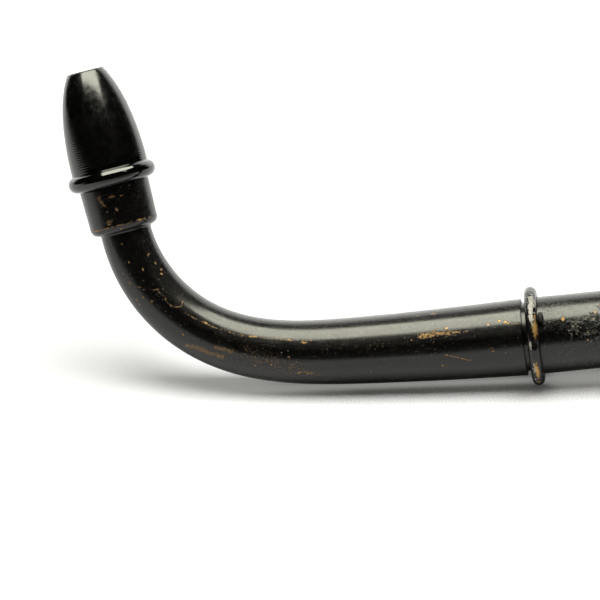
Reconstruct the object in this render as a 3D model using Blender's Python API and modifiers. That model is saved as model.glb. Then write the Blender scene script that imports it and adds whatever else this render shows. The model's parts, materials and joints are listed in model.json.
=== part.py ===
"""Ear trumpet: a bent, tapering neck with a turned ear tip draws in and out of a barrel with an oval bell.

The trumpet lies on a table on the bead at its barrel's mouth and on the rim of its bell. Its barrel axis, called
the horn axis here, runs along +X and rises a little towards the bell. The neck is turned back about that axis.
Lengths are in metres. The origin is on the table, under the middle of the trumpet's box.
"""

import math

import bpy
import numpy as np
from mathutils import Matrix, Vector

# Fits
GAP = 0.0003
SHEET = 0.0006
SEGMENTS = 28

# How it lies: rise of the horn axis, turn of the neck about it, and roll of the bell's oval under the neck's weight
REST_TILT = math.radians(4.1)
NECK_LEAN = math.radians(23.1)
BELL_TURN = math.radians(7.5)

# Barrel, measured from the middle of the bead at its mouth, positive towards the bell
BARREL_RADIUS = 0.009525
BARREL_WALL = 0.0007
BARREL_MOUTH = -0.0014
BARREL_END = 0.095
BARREL_LIP_LENGTH = 0.0008
BARREL_LIP_RADIUS = 0.0086

# Beads round the barrel
BEAD_WIRE_RADIUS = 0.0015
BEAD_OUTER_RADIUS = 0.0123
BELL_BEAD_AT = 0.0842

# Lump of solder behind the mouth's bead, and how far round it sits from the trumpet's side
SOLDER_LENGTH = 0.0015
SOLDER_WIDTH = 0.0030
SOLDER_HEIGHT = 0.0011
SOLDER_ANGLE = math.radians(51.5)

# Draw tube and the sleeve on its inner end
DRAW_RADIUS = 0.0085
DRAW_FROM = -0.0085
DRAW_TO = 0.070
STOP_RADIUS = 0.00873
STOP_LENGTH = 0.012

# Neck, measured along its centreline from the end that faces the barrel
NECK_END = -0.0025
NECK_LENGTH = 0.1127
NECK_TAIL = 0.0340
NECK_TAIL_BEND = 1.08
NECK_EASE = 0.0531
NECK_BEND = 0.0381
NECK_LARGE_RADIUS = 0.009525
NECK_SMALL_RADIUS = 0.00635
NECK_STRAIGHT_SHARE = 0.9
NECK_INTO_FERRULE = 0.0025
NECK_STATIONS = 26
NECK_SIDES = 24

# Ferrule, below the ear tip's bead
FERRULE_RADIUS = 0.00855
FERRULE_LENGTH = 0.0115
FERRULE_ROUND = 0.0017
FERRULE_BORE = 0.00775
FERRULE_FLOOR = 0.0022

# Ear tip, measured from the middle of its bead
TIP_LENGTH = 0.0270
TIP_BASE_RADIUS = 0.00965
TIP_BASE_AT = 0.0025
TIP_OGIVE = 0.0284
TIP_BEAD_RADIUS = 0.01095
TIP_BEAD_WIRE = 0.00218
TIP_TENON_RADIUS = 0.0064
TIP_TENON_LENGTH = 0.0083
TIP_BORE = 0.0025
TIP_ROUND = 0.0002
CORK_THICKNESS = 0.00075
CORK_INSET = 0.0008

# Bell
BELL_FROM = 0.086
BELL_RIM_AT = 0.172
BELL_FLARE = 1.6
BELL_PRESS = 0.29
BELL_STATIONS = 12
RIM_WIRE = 0.0015
RIM_POINTS = 48

ENAMEL = ("black_enamel", (0.012, 0.011, 0.011), 0.3, 0.0)
HARD_RUBBER = ("hard_rubber", (0.016, 0.012, 0.011), 0.22, 0.0)
BRASS = ("bare_brass", (0.55, 0.37, 0.14), 0.35, 1.0)
CORK = ("cork", (0.42, 0.26, 0.13), 0.9, 0.0)


def clear_scene():
    for obj in list(bpy.data.objects):
        bpy.data.objects.remove(obj, do_unlink=True)


def new_collection(name):
    collection = bpy.data.collections.new(name)
    bpy.context.scene.collection.children.link(collection)
    return collection


def new_material(look):
    name, colour, roughness, metallic = look
    material = bpy.data.materials.get(name) or bpy.data.materials.new(name)
    material.use_nodes = True
    shader = material.node_tree.nodes["Principled BSDF"]
    shader.inputs["Base Color"].default_value = (*colour, 1.0)
    shader.inputs["Roughness"].default_value = roughness
    shader.inputs["Metallic"].default_value = metallic
    return material


def add_object(name, data, parent, look, matrix=None):
    """Links data as a named part under parent, placed by matrix in the parent's frame."""
    obj = bpy.data.objects.new(name, data)
    parts.objects.link(obj)
    obj.parent = parent
    obj.matrix_local = matrix or Matrix()
    data.materials.append(new_material(look))
    return obj


def add_empty(name, parent, matrix):
    empty = bpy.data.objects.new(name, None)
    parts.objects.link(empty)
    empty.parent = parent
    empty.matrix_local = matrix
    return empty


def add_screw(obj):
    screw = obj.modifiers.new("Turn", "SCREW")
    screw.axis = "Z"
    screw.steps = screw.render_steps = SEGMENTS
    screw.use_merge_vertices = True
    screw.merge_threshold = 0.00001
    screw.use_smooth_shade = True


def add_solidify(obj):
    """Gives an outer skin its sheet thickness, inwards."""
    shell = obj.modifiers.new("Sheet", "SOLIDIFY")
    shell.thickness = SHEET
    shell.offset = -1.0
    shell.use_even_offset = True


def profile_mesh(name, points, closed):
    """Chain of (radius, height) points in the XZ plane, outer side first and top to bottom."""
    count = len(points)
    edges = [(i, i + 1) for i in range(count - 1)]
    if closed:
        edges.append((count - 1, 0))
    mesh = bpy.data.meshes.new(name)
    mesh.from_pydata([(radius, 0.0, height) for radius, height in points], edges, [])
    return mesh


def turned(name, points, parent, look, matrix=None):
    """Ring-shaped solid turned from a closed profile about the parent's Z axis, or about matrix's."""
    obj = add_object(name, profile_mesh(name, points, True), parent, look, matrix)
    add_screw(obj)
    return obj


def tube_profile(outer, inner, low, high):
    return [(outer, high), (outer, low), (inner, low), (inner, high)]


def arc(centre_radius, centre_height, radius, start, stop, steps):
    """Points of a round stretch; angles in degrees, 0 outwards and 90 up."""
    angles = np.radians(np.linspace(start, stop, steps + 1))
    return [(centre_radius + radius * math.cos(a), centre_height + radius * math.sin(a)) for a in angles]


def to_mesh_object(obj):
    """Replaces an object by a plain mesh of its evaluated shape, in the same place."""
    evaluated = obj.evaluated_get(bpy.context.evaluated_depsgraph_get())
    mesh = bpy.data.meshes.new_from_object(evaluated)
    name, parent, matrix = obj.name, obj.parent, obj.matrix_local.copy()
    bpy.data.objects.remove(obj, do_unlink=True)
    plain = bpy.data.objects.new(name, mesh)
    parts.objects.link(plain)
    plain.parent = parent
    plain.matrix_local = matrix
    return plain


def smooth_step(t):
    return 0.5 - 0.5 * np.cos(np.pi * np.clip(t, 0.0, 1.0))


def neck_centreline():
    """Points, headings and radii along the neck, from the barrel's side up to the ferrule.

    The curvature is slight along the tail, eases up to the bend's and is held to the end. The heading is its
    running sum, 0 along -X and positive upwards, and the points are the running sum of the heading.
    """
    along = np.linspace(0.0, NECK_LENGTH, 401)
    slight, full = 1.0 / NECK_TAIL_BEND, 1.0 / NECK_BEND
    curvature = slight + (full - slight) * smooth_step((along - NECK_TAIL) / NECK_EASE)
    step = along[1] - along[0]
    heading = np.concatenate([[0.0], np.cumsum((curvature[1:] + curvature[:-1]) / 2 * step)])
    run, rise = -np.cos(heading), np.sin(heading)
    x = np.concatenate([[0.0], np.cumsum((run[1:] + run[:-1]) / 2 * step)])
    z = np.concatenate([[0.0], np.cumsum((rise[1:] + rise[:-1]) / 2 * step)])
    share = 1.0 - along / NECK_LENGTH
    growth = NECK_STRAIGHT_SHARE * share + (1.0 - NECK_STRAIGHT_SHARE) * share ** 2
    radius = NECK_SMALL_RADIUS + (NECK_LARGE_RADIUS - NECK_SMALL_RADIUS) * growth
    return x, z, heading, radius


def lie_matrix():
    """Turn from the horn's frame to the table's: +X up by the rest tilt."""
    return Matrix.Rotation(-REST_TILT, 4, "Y")


def neck_matrix():
    """Place of the neck's frame in the horn's: at the neck's end, turned back about the axis."""
    return Matrix.Translation((NECK_END, 0.0, 0.0)) @ Matrix.Rotation(-NECK_LEAN, 4, "X")


def axis_height():
    """Height of the horn axis at the bead when the bead rests on the table."""
    wire_at = BEAD_OUTER_RADIUS - BEAD_WIRE_RADIUS
    return wire_at * math.cos(REST_TILT) + BEAD_WIRE_RADIUS


def make_barrel(horn, about_x):
    bore = BARREL_RADIUS - BARREL_WALL
    lip_end = BARREL_MOUTH + BARREL_LIP_LENGTH
    turned("barrel_tube", [
        (BARREL_RADIUS, BARREL_END),
        (BARREL_RADIUS, BARREL_MOUTH),
        (BARREL_LIP_RADIUS, BARREL_MOUTH),
        (BARREL_LIP_RADIUS, lip_end),
        (bore, lip_end),
        (bore, BARREL_END),
    ], horn, ENAMEL, about_x)

    seat = BARREL_RADIUS + GAP
    wire_at = BEAD_OUTER_RADIUS - BEAD_WIRE_RADIUS
    cut = math.degrees(math.acos((seat - wire_at) / BEAD_WIRE_RADIUS))
    for name, place in (("barrel_bead", 0.0), ("bell_bead", BELL_BEAD_AT)):
        turned(name, arc(wire_at, place, BEAD_WIRE_RADIUS, cut, -cut, 10), horn, ENAMEL, about_x)

    bpy.ops.mesh.primitive_uv_sphere_add(segments=12, ring_count=8, radius=0.5)
    lump = bpy.context.object
    lump.data.transform(Matrix.Diagonal((SOLDER_LENGTH, SOLDER_HEIGHT, SOLDER_WIDTH, 1.0)))
    lump.data.shade_smooth()
    out = seat + SOLDER_HEIGHT / 2 + (SOLDER_WIDTH / 2) ** 2 / (2 * seat)
    place = Matrix.Translation((BEAD_WIRE_RADIUS + GAP + SOLDER_LENGTH / 2, -out, 0.0))
    add_object("bead_solder", lump.data, horn, ENAMEL, Matrix.Rotation(-SOLDER_ANGLE, 4, "X") @ place)
    bpy.data.objects.remove(lump, do_unlink=True)


def make_bell(horn, about_x):
    """Bell spun round, then pressed oval, with a wire round its mouth that comes down to the table."""
    rim_low = axis_height() + BELL_RIM_AT * math.sin(REST_TILT) - RIM_WIRE
    widening = (1.0 + BELL_PRESS) / (1.0 - BELL_PRESS)
    roll_depth = math.hypot(math.cos(BELL_TURN), widening * math.sin(BELL_TURN))
    half_height = rim_low / (math.cos(REST_TILT) * roll_depth)
    half_width = half_height * widening
    spun = half_height / (1.0 - BELL_PRESS)
    rolled = Matrix.Rotation(-BELL_TURN, 4, "X")

    throat = BARREL_RADIUS + GAP + SHEET
    mouth = BELL_RIM_AT - RIM_WIRE - GAP
    flare = [
        (throat + (spun + SHEET / 2 - throat) * t ** BELL_FLARE, BARREL_END + (mouth - BARREL_END) * t)
        for t in np.linspace(1.0, 0.0, BELL_STATIONS)
    ]
    skin = profile_mesh("bell", flare + [(throat, BELL_FROM)], False)
    bell = add_object("bell", skin, horn, ENAMEL, rolled @ about_x)
    add_screw(bell)
    bell = to_mesh_object(bell)
    points = np.empty(len(bell.data.vertices) * 3)
    bell.data.vertices.foreach_get("co", points)
    points = points.reshape(-1, 3)
    press = BELL_PRESS * smooth_step((points[:, 2] - BARREL_END) / (mouth - BARREL_END))
    points[:, 0] *= 1.0 - press
    points[:, 1] *= 1.0 + press
    bell.data.vertices.foreach_set("co", points.ravel())
    add_solidify(bell)

    curve = bpy.data.curves.new("bell_rim", "CURVE")
    curve.dimensions = "3D"
    curve.bevel_depth = RIM_WIRE
    curve.bevel_resolution = 3
    spline = curve.splines.new("POLY")
    spline.points.add(RIM_POINTS - 1)
    spline.use_cyclic_u = True
    for point, angle in zip(spline.points, np.linspace(0.0, 2 * np.pi, RIM_POINTS, endpoint=False)):
        point.co = (BELL_RIM_AT, half_width * math.sin(angle), half_height * math.cos(angle), 1.0)
    add_object("bell_rim", curve, horn, ENAMEL, rolled)
    print("bell mouth half width and half height", round(half_width, 5), round(half_height, 5))


def make_draw(draw, about_x):
    bore = DRAW_RADIUS - SHEET
    turned("draw_tube", tube_profile(DRAW_RADIUS, bore, DRAW_FROM, DRAW_TO), draw, ENAMEL, about_x)
    stop_from = DRAW_TO + GAP
    stop = tube_profile(STOP_RADIUS, bore, stop_from, stop_from + STOP_LENGTH)
    turned("draw_stop", stop, draw, BRASS, about_x)


def make_neck(neck):
    """Tapering tube along the centreline, run on straight a little way into the ferrule."""
    x, z, heading, radius = neck_centreline()
    picked = np.linspace(0, len(x) - 1, NECK_STATIONS).astype(int)
    route = [(x[i], z[i], radius[i]) for i in picked]
    run, rise = -math.cos(heading[-1]), math.sin(heading[-1])
    route.append((x[-1] + NECK_INTO_FERRULE * run, z[-1] + NECK_INTO_FERRULE * rise, radius[-1]))

    curve = bpy.data.curves.new("neck_tube", "CURVE")
    curve.dimensions = "3D"
    curve.twist_mode = "Z_UP"
    curve.bevel_depth = NECK_LARGE_RADIUS
    curve.bevel_resolution = NECK_SIDES // 2 - 2
    spline = curve.splines.new("POLY")
    spline.points.add(len(route) - 1)
    for point, (px, pz, size) in zip(spline.points, route):
        point.co = (px, 0.0, pz, 1.0)
        point.radius = size / NECK_LARGE_RADIUS
    add_solidify(to_mesh_object(add_object("neck_tube", curve, neck, ENAMEL)))


def tip_matrix():
    """Place of the ear tip's frame in the neck's: at the bead's middle, +Z out along the tip's axis."""
    x, z, heading, _ = neck_centreline()
    run, rise = -math.cos(heading[-1]), math.sin(heading[-1])
    reach = FERRULE_LENGTH + GAP + TIP_BEAD_WIRE
    place = Matrix.Translation((x[-1] + reach * run, 0.0, z[-1] + reach * rise))
    return place @ Matrix.Rotation(heading[-1] - math.pi / 2, 4, "Y")


def make_ferrule(tip_frame, neck):
    top = -TIP_BEAD_WIRE - GAP
    bottom = top - FERRULE_LENGTH
    hole = NECK_SMALL_RADIUS + GAP
    outside = [(FERRULE_RADIUS, top)]
    outside += arc(FERRULE_RADIUS - FERRULE_ROUND, bottom + FERRULE_ROUND, FERRULE_ROUND, 0, -90, 5)
    inside = [
        (hole, bottom),
        (hole, bottom + FERRULE_FLOOR),
        (FERRULE_BORE, bottom + FERRULE_FLOOR),
        (FERRULE_BORE, top),
    ]
    turned("tip_ferrule", outside + inside, neck, ENAMEL, tip_frame)


def make_ear_tip(tip):
    """Bullet on a bead, with a corked tenon below that pushes into the ferrule, bored right through."""
    def ogive(height):
        return TIP_BASE_RADIUS * math.sqrt(1.0 - ((height - TIP_BASE_AT) / TIP_OGIVE) ** 2)

    shoulder = -TIP_BEAD_WIRE
    tenon_end = shoulder - TIP_TENON_LENGTH
    bead_at = TIP_BEAD_RADIUS - TIP_BEAD_WIRE
    meets = math.degrees(math.acos((TIP_BASE_RADIUS - bead_at) / TIP_BEAD_WIRE))
    bullet = [(ogive(h), h) for h in np.linspace(TIP_LENGTH - TIP_ROUND, TIP_BASE_AT, 11)]
    outside = [(ogive(TIP_LENGTH) - TIP_ROUND, TIP_LENGTH)] + bullet
    outside += arc(bead_at, 0.0, TIP_BEAD_WIRE, meets, -90, 8)
    tenon = [(TIP_TENON_RADIUS, shoulder), (TIP_TENON_RADIUS, tenon_end)]
    turned("ear_tip", outside + tenon + [(TIP_BORE, tenon_end), (TIP_BORE, TIP_LENGTH)], tip, HARD_RUBBER)

    cork_in = TIP_TENON_RADIUS + GAP
    cork = tube_profile(cork_in + CORK_THICKNESS, cork_in, tenon_end + CORK_INSET, shoulder - CORK_INSET)
    turned("tip_cork", cork, tip, CORK)


def stand_on_table(horn):
    """Moves the whole trumpet so that its box stands centred on the origin."""
    bpy.context.view_layer.update()
    graph = bpy.context.evaluated_depsgraph_get()
    lows, highs = [], []
    for obj in parts.objects:
        if obj.type == "EMPTY":
            continue
        evaluated = obj.evaluated_get(graph)
        mesh = evaluated.to_mesh()
        points = np.empty(len(mesh.vertices) * 3)
        mesh.vertices.foreach_get("co", points)
        place = np.array(obj.matrix_world)
        points = points.reshape(-1, 3) @ place[:3, :3].T + place[:3, 3]
        lows.append(points.min(axis=0))
        highs.append(points.max(axis=0))
        evaluated.to_mesh_clear()
    low, high = np.min(lows, axis=0), np.max(highs, axis=0)
    horn.location = Vector((-(low[0] + high[0]) / 2, -(low[1] + high[1]) / 2, -low[2]))
    bpy.context.view_layer.update()
    print("box size", np.round(high - low, 5))


def print_axis(empty, axis):
    world = empty.matrix_world
    direction = (world.to_3x3() @ Vector(axis)).normalized()
    print(empty.name, "at", [round(v, 6) for v in world.translation], "axis", [round(v, 6) for v in direction])


clear_scene()
parts = new_collection("ear_trumpet")
about_x = Matrix.Rotation(math.pi / 2, 4, "Y")

horn = add_empty("horn_frame", None, lie_matrix())
draw = add_empty("draw_frame", horn, Matrix())
neck = add_empty("neck_frame", draw, neck_matrix())
tip = add_empty("tip_frame", neck, tip_matrix())

make_barrel(horn, about_x)
make_bell(horn, about_x)
make_draw(draw, about_x)
make_neck(neck)
make_ferrule(tip_matrix(), neck)
make_ear_tip(tip)
stand_on_table(horn)

print_axis(draw, (-1.0, 0.0, 0.0))
print_axis(neck, (1.0, 0.0, 0.0))
print_axis(tip, (0.0, 0.0, 1.0))
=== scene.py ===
# %% [markdown]
# # A black-enamelled ear trumpet
# The part is an old hearing aid: a turned ear tip on a bent neck, a draw tube, a barrel and a flared bell.
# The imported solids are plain. Here each one gets a smooth skin and its worn finish.
# Every skin is a sheet of points worked out with numpy, so a shape is one formula and not many clicks.

# %% Load the fixed frame
import json
import math

import bpy
import numpy as np
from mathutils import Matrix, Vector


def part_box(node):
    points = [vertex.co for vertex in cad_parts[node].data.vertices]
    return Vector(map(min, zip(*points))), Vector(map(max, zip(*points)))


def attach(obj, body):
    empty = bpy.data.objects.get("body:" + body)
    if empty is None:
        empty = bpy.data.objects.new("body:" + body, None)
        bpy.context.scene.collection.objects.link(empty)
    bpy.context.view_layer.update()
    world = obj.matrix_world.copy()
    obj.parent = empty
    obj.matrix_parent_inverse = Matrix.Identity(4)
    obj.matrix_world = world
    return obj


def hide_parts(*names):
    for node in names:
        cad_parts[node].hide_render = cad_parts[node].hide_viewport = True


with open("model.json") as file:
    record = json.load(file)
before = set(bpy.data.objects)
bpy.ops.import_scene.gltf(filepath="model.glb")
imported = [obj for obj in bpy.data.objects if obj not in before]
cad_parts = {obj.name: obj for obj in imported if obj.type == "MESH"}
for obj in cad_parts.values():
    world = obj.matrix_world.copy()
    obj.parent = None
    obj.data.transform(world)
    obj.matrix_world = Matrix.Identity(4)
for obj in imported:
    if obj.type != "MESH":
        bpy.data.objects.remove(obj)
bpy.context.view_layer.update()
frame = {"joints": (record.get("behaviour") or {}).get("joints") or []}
joints = {joint["name"]: joint for joint in frame["joints"]}

# %% [markdown]
# ## Where everything is
# The barrel, its bead and the bell share one straight line, the horn axis. The joints of the part already
# hold that line and the neck's start, so these are read from there and nothing has to be fitted. The ear
# tip's line follows from the neck's bend.
# The neck bends in a plane that is turned back from upright by the lean.

# %% Axes of the trumpet
MM = 0.001
NECK_LEAN = math.radians(23.1)
NECK_END = -0.0025

horn_axis = -np.array(joints["draw_slide"]["axis"])
side = np.array([0.0, 1.0, 0.0])
rise = np.cross(horn_axis, side)
neck_start = np.array(joints["neck_swivel"]["pos_m"])
bead_middle = neck_start - NECK_END * horn_axis
bend_up = math.cos(NECK_LEAN) * rise + math.sin(NECK_LEAN) * side
bend_face = math.sin(NECK_LEAN) * rise - math.cos(NECK_LEAN) * side
print("bead middle", bead_middle.round(5), "bend plane faces", bend_face.round(3))

# %% [markdown]
# ## The camera
# The photograph looks down on the trumpet from the front at about a quarter of a right angle, through a long
# lens, so lines hardly converge. The camera could be turned by hand until it looks right. It is surer to say
# where one known point, the middle of the bead, lies in the picture, and to work back to the camera from it.
# The picture was turned a little when it was cut, so the camera is rolled by the same angle.

# %% Camera
PICTURE_PIXELS = 600
PIXEL_SIZE = 0.0002474
BEAD_PIXEL_X = 534.65
BEAD_PIXEL_Y = 335.9
CAMERA_DISTANCE = 1.5
CAMERA_AZIMUTH = math.radians(3.15)
CAMERA_ELEVATION = math.radians(26.5)
CAMERA_ROLL = math.radians(-3.49)
SENSOR = 36.0

level = math.cos(CAMERA_ELEVATION)
to_camera = np.array([
    math.sin(CAMERA_AZIMUTH) * level,
    -math.cos(CAMERA_AZIMUTH) * level,
    math.sin(CAMERA_ELEVATION),
])
level_right = np.array([math.cos(CAMERA_AZIMUTH), math.sin(CAMERA_AZIMUTH), 0.0])
to_right = math.cos(CAMERA_ROLL) * level_right + math.sin(CAMERA_ROLL) * np.cross(to_camera, level_right)
to_top = np.cross(to_camera, to_right)
half_picture = PICTURE_PIXELS / 2
across = (BEAD_PIXEL_X - half_picture) * PIXEL_SIZE
down = (BEAD_PIXEL_Y - half_picture) * PIXEL_SIZE
looked_at = bead_middle - to_right * across + to_top * down

camera_data = bpy.data.cameras.new("camera")
camera_data.sensor_width = SENSOR
camera_data.lens = SENSOR * CAMERA_DISTANCE / (PICTURE_PIXELS * PIXEL_SIZE)
camera = bpy.data.objects.new("camera", camera_data)
turn = np.eye(4)
turn[:3, :3] = np.stack([to_right, to_top, to_camera], axis=1)
turn[:3, 3] = looked_at + to_camera * CAMERA_DISTANCE
camera.matrix_world = turn.T.tolist()
bpy.context.scene.collection.objects.link(camera)
bpy.context.scene.camera = camera
bpy.context.scene.view_settings.view_transform = "Standard"
print("lens", round(camera_data.lens, 1), "camera at", turn[:3, 3].round(3))

# %% [markdown]
# ## Wiring materials
# A material is a small network. Adding each box by hand takes many lines, so a few helpers add one box each
# and hand back the socket that the next box needs. They hold no look of their own.

# %% Helpers for materials
def join(tree, value, socket):
    """Links a socket's value, or sets a plain one."""
    if isinstance(value, bpy.types.NodeSocket):
        tree.links.new(value, socket)
    else:
        socket.default_value = value


def fill(tree, node, **inputs):
    """Fills or links a node's inputs, which are named with _ for a space, and hands the node back."""
    for label, value in inputs.items():
        join(tree, value, node.inputs[label.replace("_", " ")])
    return node


def put(tree, kind, fields=None, **inputs):
    """Adds a node, sets its fields and fills its inputs."""
    node = tree.nodes.new("ShaderNode" + kind)
    for field, value in (fields or {}).items():
        setattr(node, field, value)
    return fill(tree, node, **inputs)


def linked(node, label):
    """The socket that already feeds an input."""
    return node.inputs[label].links[0].from_socket


def calc(tree, operation, first, second=0.0, third=0.0):
    """One sum of up to three values."""
    node = put(tree, "Math", {"operation": operation})
    for value, socket in zip((first, second, third), node.inputs):
        join(tree, value, socket)
    return node.outputs[0]


def times(tree, first, second):
    """The product of two values."""
    return calc(tree, "MULTIPLY", first, second)


def ease(tree, value, low, high, to_low=0.0, to_high=1.0):
    """Carries low..high smoothly to to_low..to_high, and stays there outside."""
    node = put(tree, "MapRange", {"interpolation_type": "SMOOTHSTEP"}, Value=value,
               From_Min=low, From_Max=high, To_Min=to_low, To_Max=to_high)
    return node.outputs[0]


def blend(tree, share, first, second):
    """Colour between first and second."""
    node = put(tree, "Mix", {"data_type": "RGBA"})
    for number, value in ((0, share), (6, first), (7, second)):
        join(tree, value, node.inputs[number])
    return node.outputs[2]


def noise(tree, place, scale, detail=2.0, rough=0.55):
    """Cloudy value, stretched so that it fills 0..1."""
    cloud = put(tree, "TexNoise", Vector=place, Scale=scale, Detail=detail, Roughness=rough)
    return ease(tree, cloud.outputs[0], 0.3, 0.7)


def stretch(tree, place, along, across):
    """The same place with its first length and its other two lengths scaled."""
    node = put(tree, "VectorMath", {"operation": "MULTIPLY"})
    join(tree, place, node.inputs[0])
    join(tree, (along, across, across), node.inputs[1])
    return node.outputs[0]


def bumped(tree, height, depth, strength, **more):
    """The normal of a surface that a height of 1 lifts by the depth."""
    return put(tree, "Bump", Height=height, Distance=depth, Strength=strength, **more).outputs[0]


def read(tree, name, output="Fac"):
    """A piece's own attribute."""
    return put(tree, "Attribute", {"attribute_name": name}).outputs[output]


def new_material(name):
    """An empty material with its tree and its shader."""
    material = bpy.data.materials.new(name)
    material.use_nodes = True
    tree = material.node_tree
    return material, tree, tree.nodes["Principled BSDF"]


print("helpers ready")

# %% [markdown]
# ## The studio
# The trumpet lies on a white sheet under a wide soft box, which stands a little behind it. That gives the
# long pale highlight on the upper side of the tubes. The room in front is dark, which leaves the black band,
# and the sheet behind is bright, which gives the pale rims.
# A photographer can make a highlight brighter than the light on the sheet. Here two lamps do that. One is
# seen only in reflections. The other only lights surfaces, and it stands to the right and further forward,
# which throws the shadow of the tip to the left.
# The sheet is a plane that is lit by the lamp, so it keeps the shadow. Far out it glows by itself to stay
# white. A strip under the tail and a patch under the bend glow a little for the camera: painted light that
# lightens the shadow there.
# In reflections the sheet is darker in front and under the tail, where less light would reach it.

# %% Floor
FLOOR_HALF_WIDTH = 0.55
FLOOR_REACH = 1.6
FLOOR_WHITE = (0.97, 0.97, 0.97, 1.0)
FLOOR_THREAD = (0.84, 0.84, 0.84, 1.0)
FLOOR_ROUGH = 0.9
WEAVE_SIZE = 0.0005
WEAVE_EDGE = (0.3, 0.7)

corners = np.array([[-1, -1, 0], [1, -1, 0], [1, 1, 0], [-1, 1, 0]]) * [FLOOR_HALF_WIDTH, FLOOR_REACH, 0.0]
floor_mesh = bpy.data.meshes.new("floor")
floor_mesh.from_pydata(corners.tolist(), [], [(0, 1, 2, 3)])
floor = bpy.data.objects.new("floor", floor_mesh)
bpy.context.scene.collection.objects.link(floor)

sheet_material, tree, shader = new_material("white_sheet")
floor_mesh.materials.append(sheet_material)
path = put(tree, "LightPath").outputs
spot = put(tree, "TexCoord").outputs["Object"]
spot_at = put(tree, "SeparateXYZ", Vector=spot).outputs
off_line = calc(tree, "ABSOLUTE", spot_at["Y"])
weave = ease(tree, noise(tree, spot, 1 / WEAVE_SIZE), *WEAVE_EDGE)
sheet = blend(tree, weave, FLOOR_THREAD, FLOOR_WHITE)
print("floor", 2 * FLOOR_HALF_WIDTH, "m wide")

# %% Sheet in reflections
FLOOR_SHADED = (0.30, 0.30, 0.29, 1.0)
FRONT_DIM = 0.8
FRONT_PART = (-0.30, -0.03)
TAIL_PART = (-0.10, -0.07)
TAIL_BESIDE = (0.004, 0.014)

under_tail = times(tree, ease(tree, off_line, *TAIL_BESIDE, 1.0, 0.0), ease(tree, spot_at["X"], *TAIL_PART))
in_front = times(tree, ease(tree, spot_at["Y"], *FRONT_PART, 1.0, 0.0), FRONT_DIM)
dim = times(tree, in_front, path["Is Glossy Ray"])
shaded = calc(tree, "MAXIMUM", times(tree, under_tail, path["Is Glossy Ray"]), dim)
fill(tree, shader, Base_Color=blend(tree, shaded, sheet, FLOOR_SHADED), Roughness=FLOOR_ROUGH,
     Specular_IOR_Level=0.0)
print("front dimmed by", FRONT_DIM)

# %% Glow of the sheet
GLOW_COLOUR = (1.0, 1.0, 0.96, 1.0)
# Painted light: for camera rays only, the sheet glows under the bend and in a strip under the tail, which
# lightens the shadow there.
BEND_PAINTED_LIGHT = 0.14
UNDER_PAINTED_LIGHT = 0.16
GLOW_AROUND = 0.32
GLOW_FAR = 1.0
BEND_PART = (-0.105, -0.07)
BARREL_PART = (-0.0285, -0.0235)
BELL_PART = (-0.005, 0.02)
UNDER_NECK = 0.0032
UNDER_BARREL = 0.0085
NEAR_PART = (0.04, 0.12)
FAR_PART = (0.14, 0.45)
LENGTH_COUNTS = 0.35

near = ease(tree, spot_at["X"], *BEND_PART, BEND_PAINTED_LIGHT, 0.0)
strip = ease(tree, spot_at["X"], *BELL_PART, UNDER_PAINTED_LIGHT, 0.0)
strip_half = ease(tree, spot_at["X"], *BARREL_PART, UNDER_NECK, UNDER_BARREL)
near = ease(tree, off_line, 0.0, strip_half, strip, near)
near = times(tree, path["Is Camera Ray"], near)
distance = put(tree, "VectorMath", {"operation": "LENGTH"})
join(tree, stretch(tree, spot, LENGTH_COUNTS, 1.0), distance.inputs[0])
away = distance.outputs["Value"]
glow = ease(tree, away, *NEAR_PART, near, GLOW_AROUND)
glow = ease(tree, away, *FAR_PART, glow, GLOW_FAR)
glow = times(tree, glow, calc(tree, "SUBTRACT", 1.0, dim))
seen = calc(tree, "MAXIMUM", path["Is Camera Ray"], path["Is Glossy Ray"])
seen = calc(tree, "MAXIMUM", seen, path["Is Transmission Ray"])
fill(tree, shader, Emission_Color=GLOW_COLOUR, Emission_Strength=times(tree, glow, seen))
print("glow under the tube", UNDER_PAINTED_LIGHT, "and far out", GLOW_FAR)

# %% Soft box
BOX_SIZE_X = 0.59
BOX_SIZE_Y = 0.44
SHINE_PLACE = (-0.105, 0.04, 0.59)
SHINE_COLOUR = (1.0, 0.995, 0.82)
SHINE_RADIANCE = 12.2
LIGHT_PLACE = (0.025, -0.055, 0.58)
LIGHT_COLOUR = (1.0, 1.0, 0.98)
LIGHT_RADIANCE = 6.2

for name, place, colour, radiance, for_shine in (
    ("soft_box_shine", SHINE_PLACE, SHINE_COLOUR, SHINE_RADIANCE, True),
    ("soft_box", LIGHT_PLACE, LIGHT_COLOUR, LIGHT_RADIANCE, False),
):
    lamp_data = bpy.data.lights.new(name, "AREA")
    lamp_data.shape = "RECTANGLE"
    lamp_data.size = BOX_SIZE_X
    lamp_data.size_y = BOX_SIZE_Y
    lamp_data.energy = radiance * math.pi * BOX_SIZE_X * BOX_SIZE_Y
    lamp_data.color = colour
    lamp = bpy.data.objects.new(name, lamp_data)
    lamp.location = place
    lamp.visible_glossy = for_shine
    lamp.visible_diffuse = not for_shine
    bpy.context.scene.collection.objects.link(lamp)
    print(name, round(lamp_data.energy, 2), "W")

# %% Room
ROOM_DARK = 0.012
ROOM_BACK = 2.1
ROOM_FILL = 0.17
BACK_COLOUR = (1.0, 1.0, 0.95, 1.0)
FILL_COLOUR = (1.0, 0.99, 0.88, 1.0)
PURE_WHITE = (1.0, 1.0, 1.0, 1.0)
BACK_PART = (0.46, 0.76)
OVERHEAD_PART = (0.45, 0.75)

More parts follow.
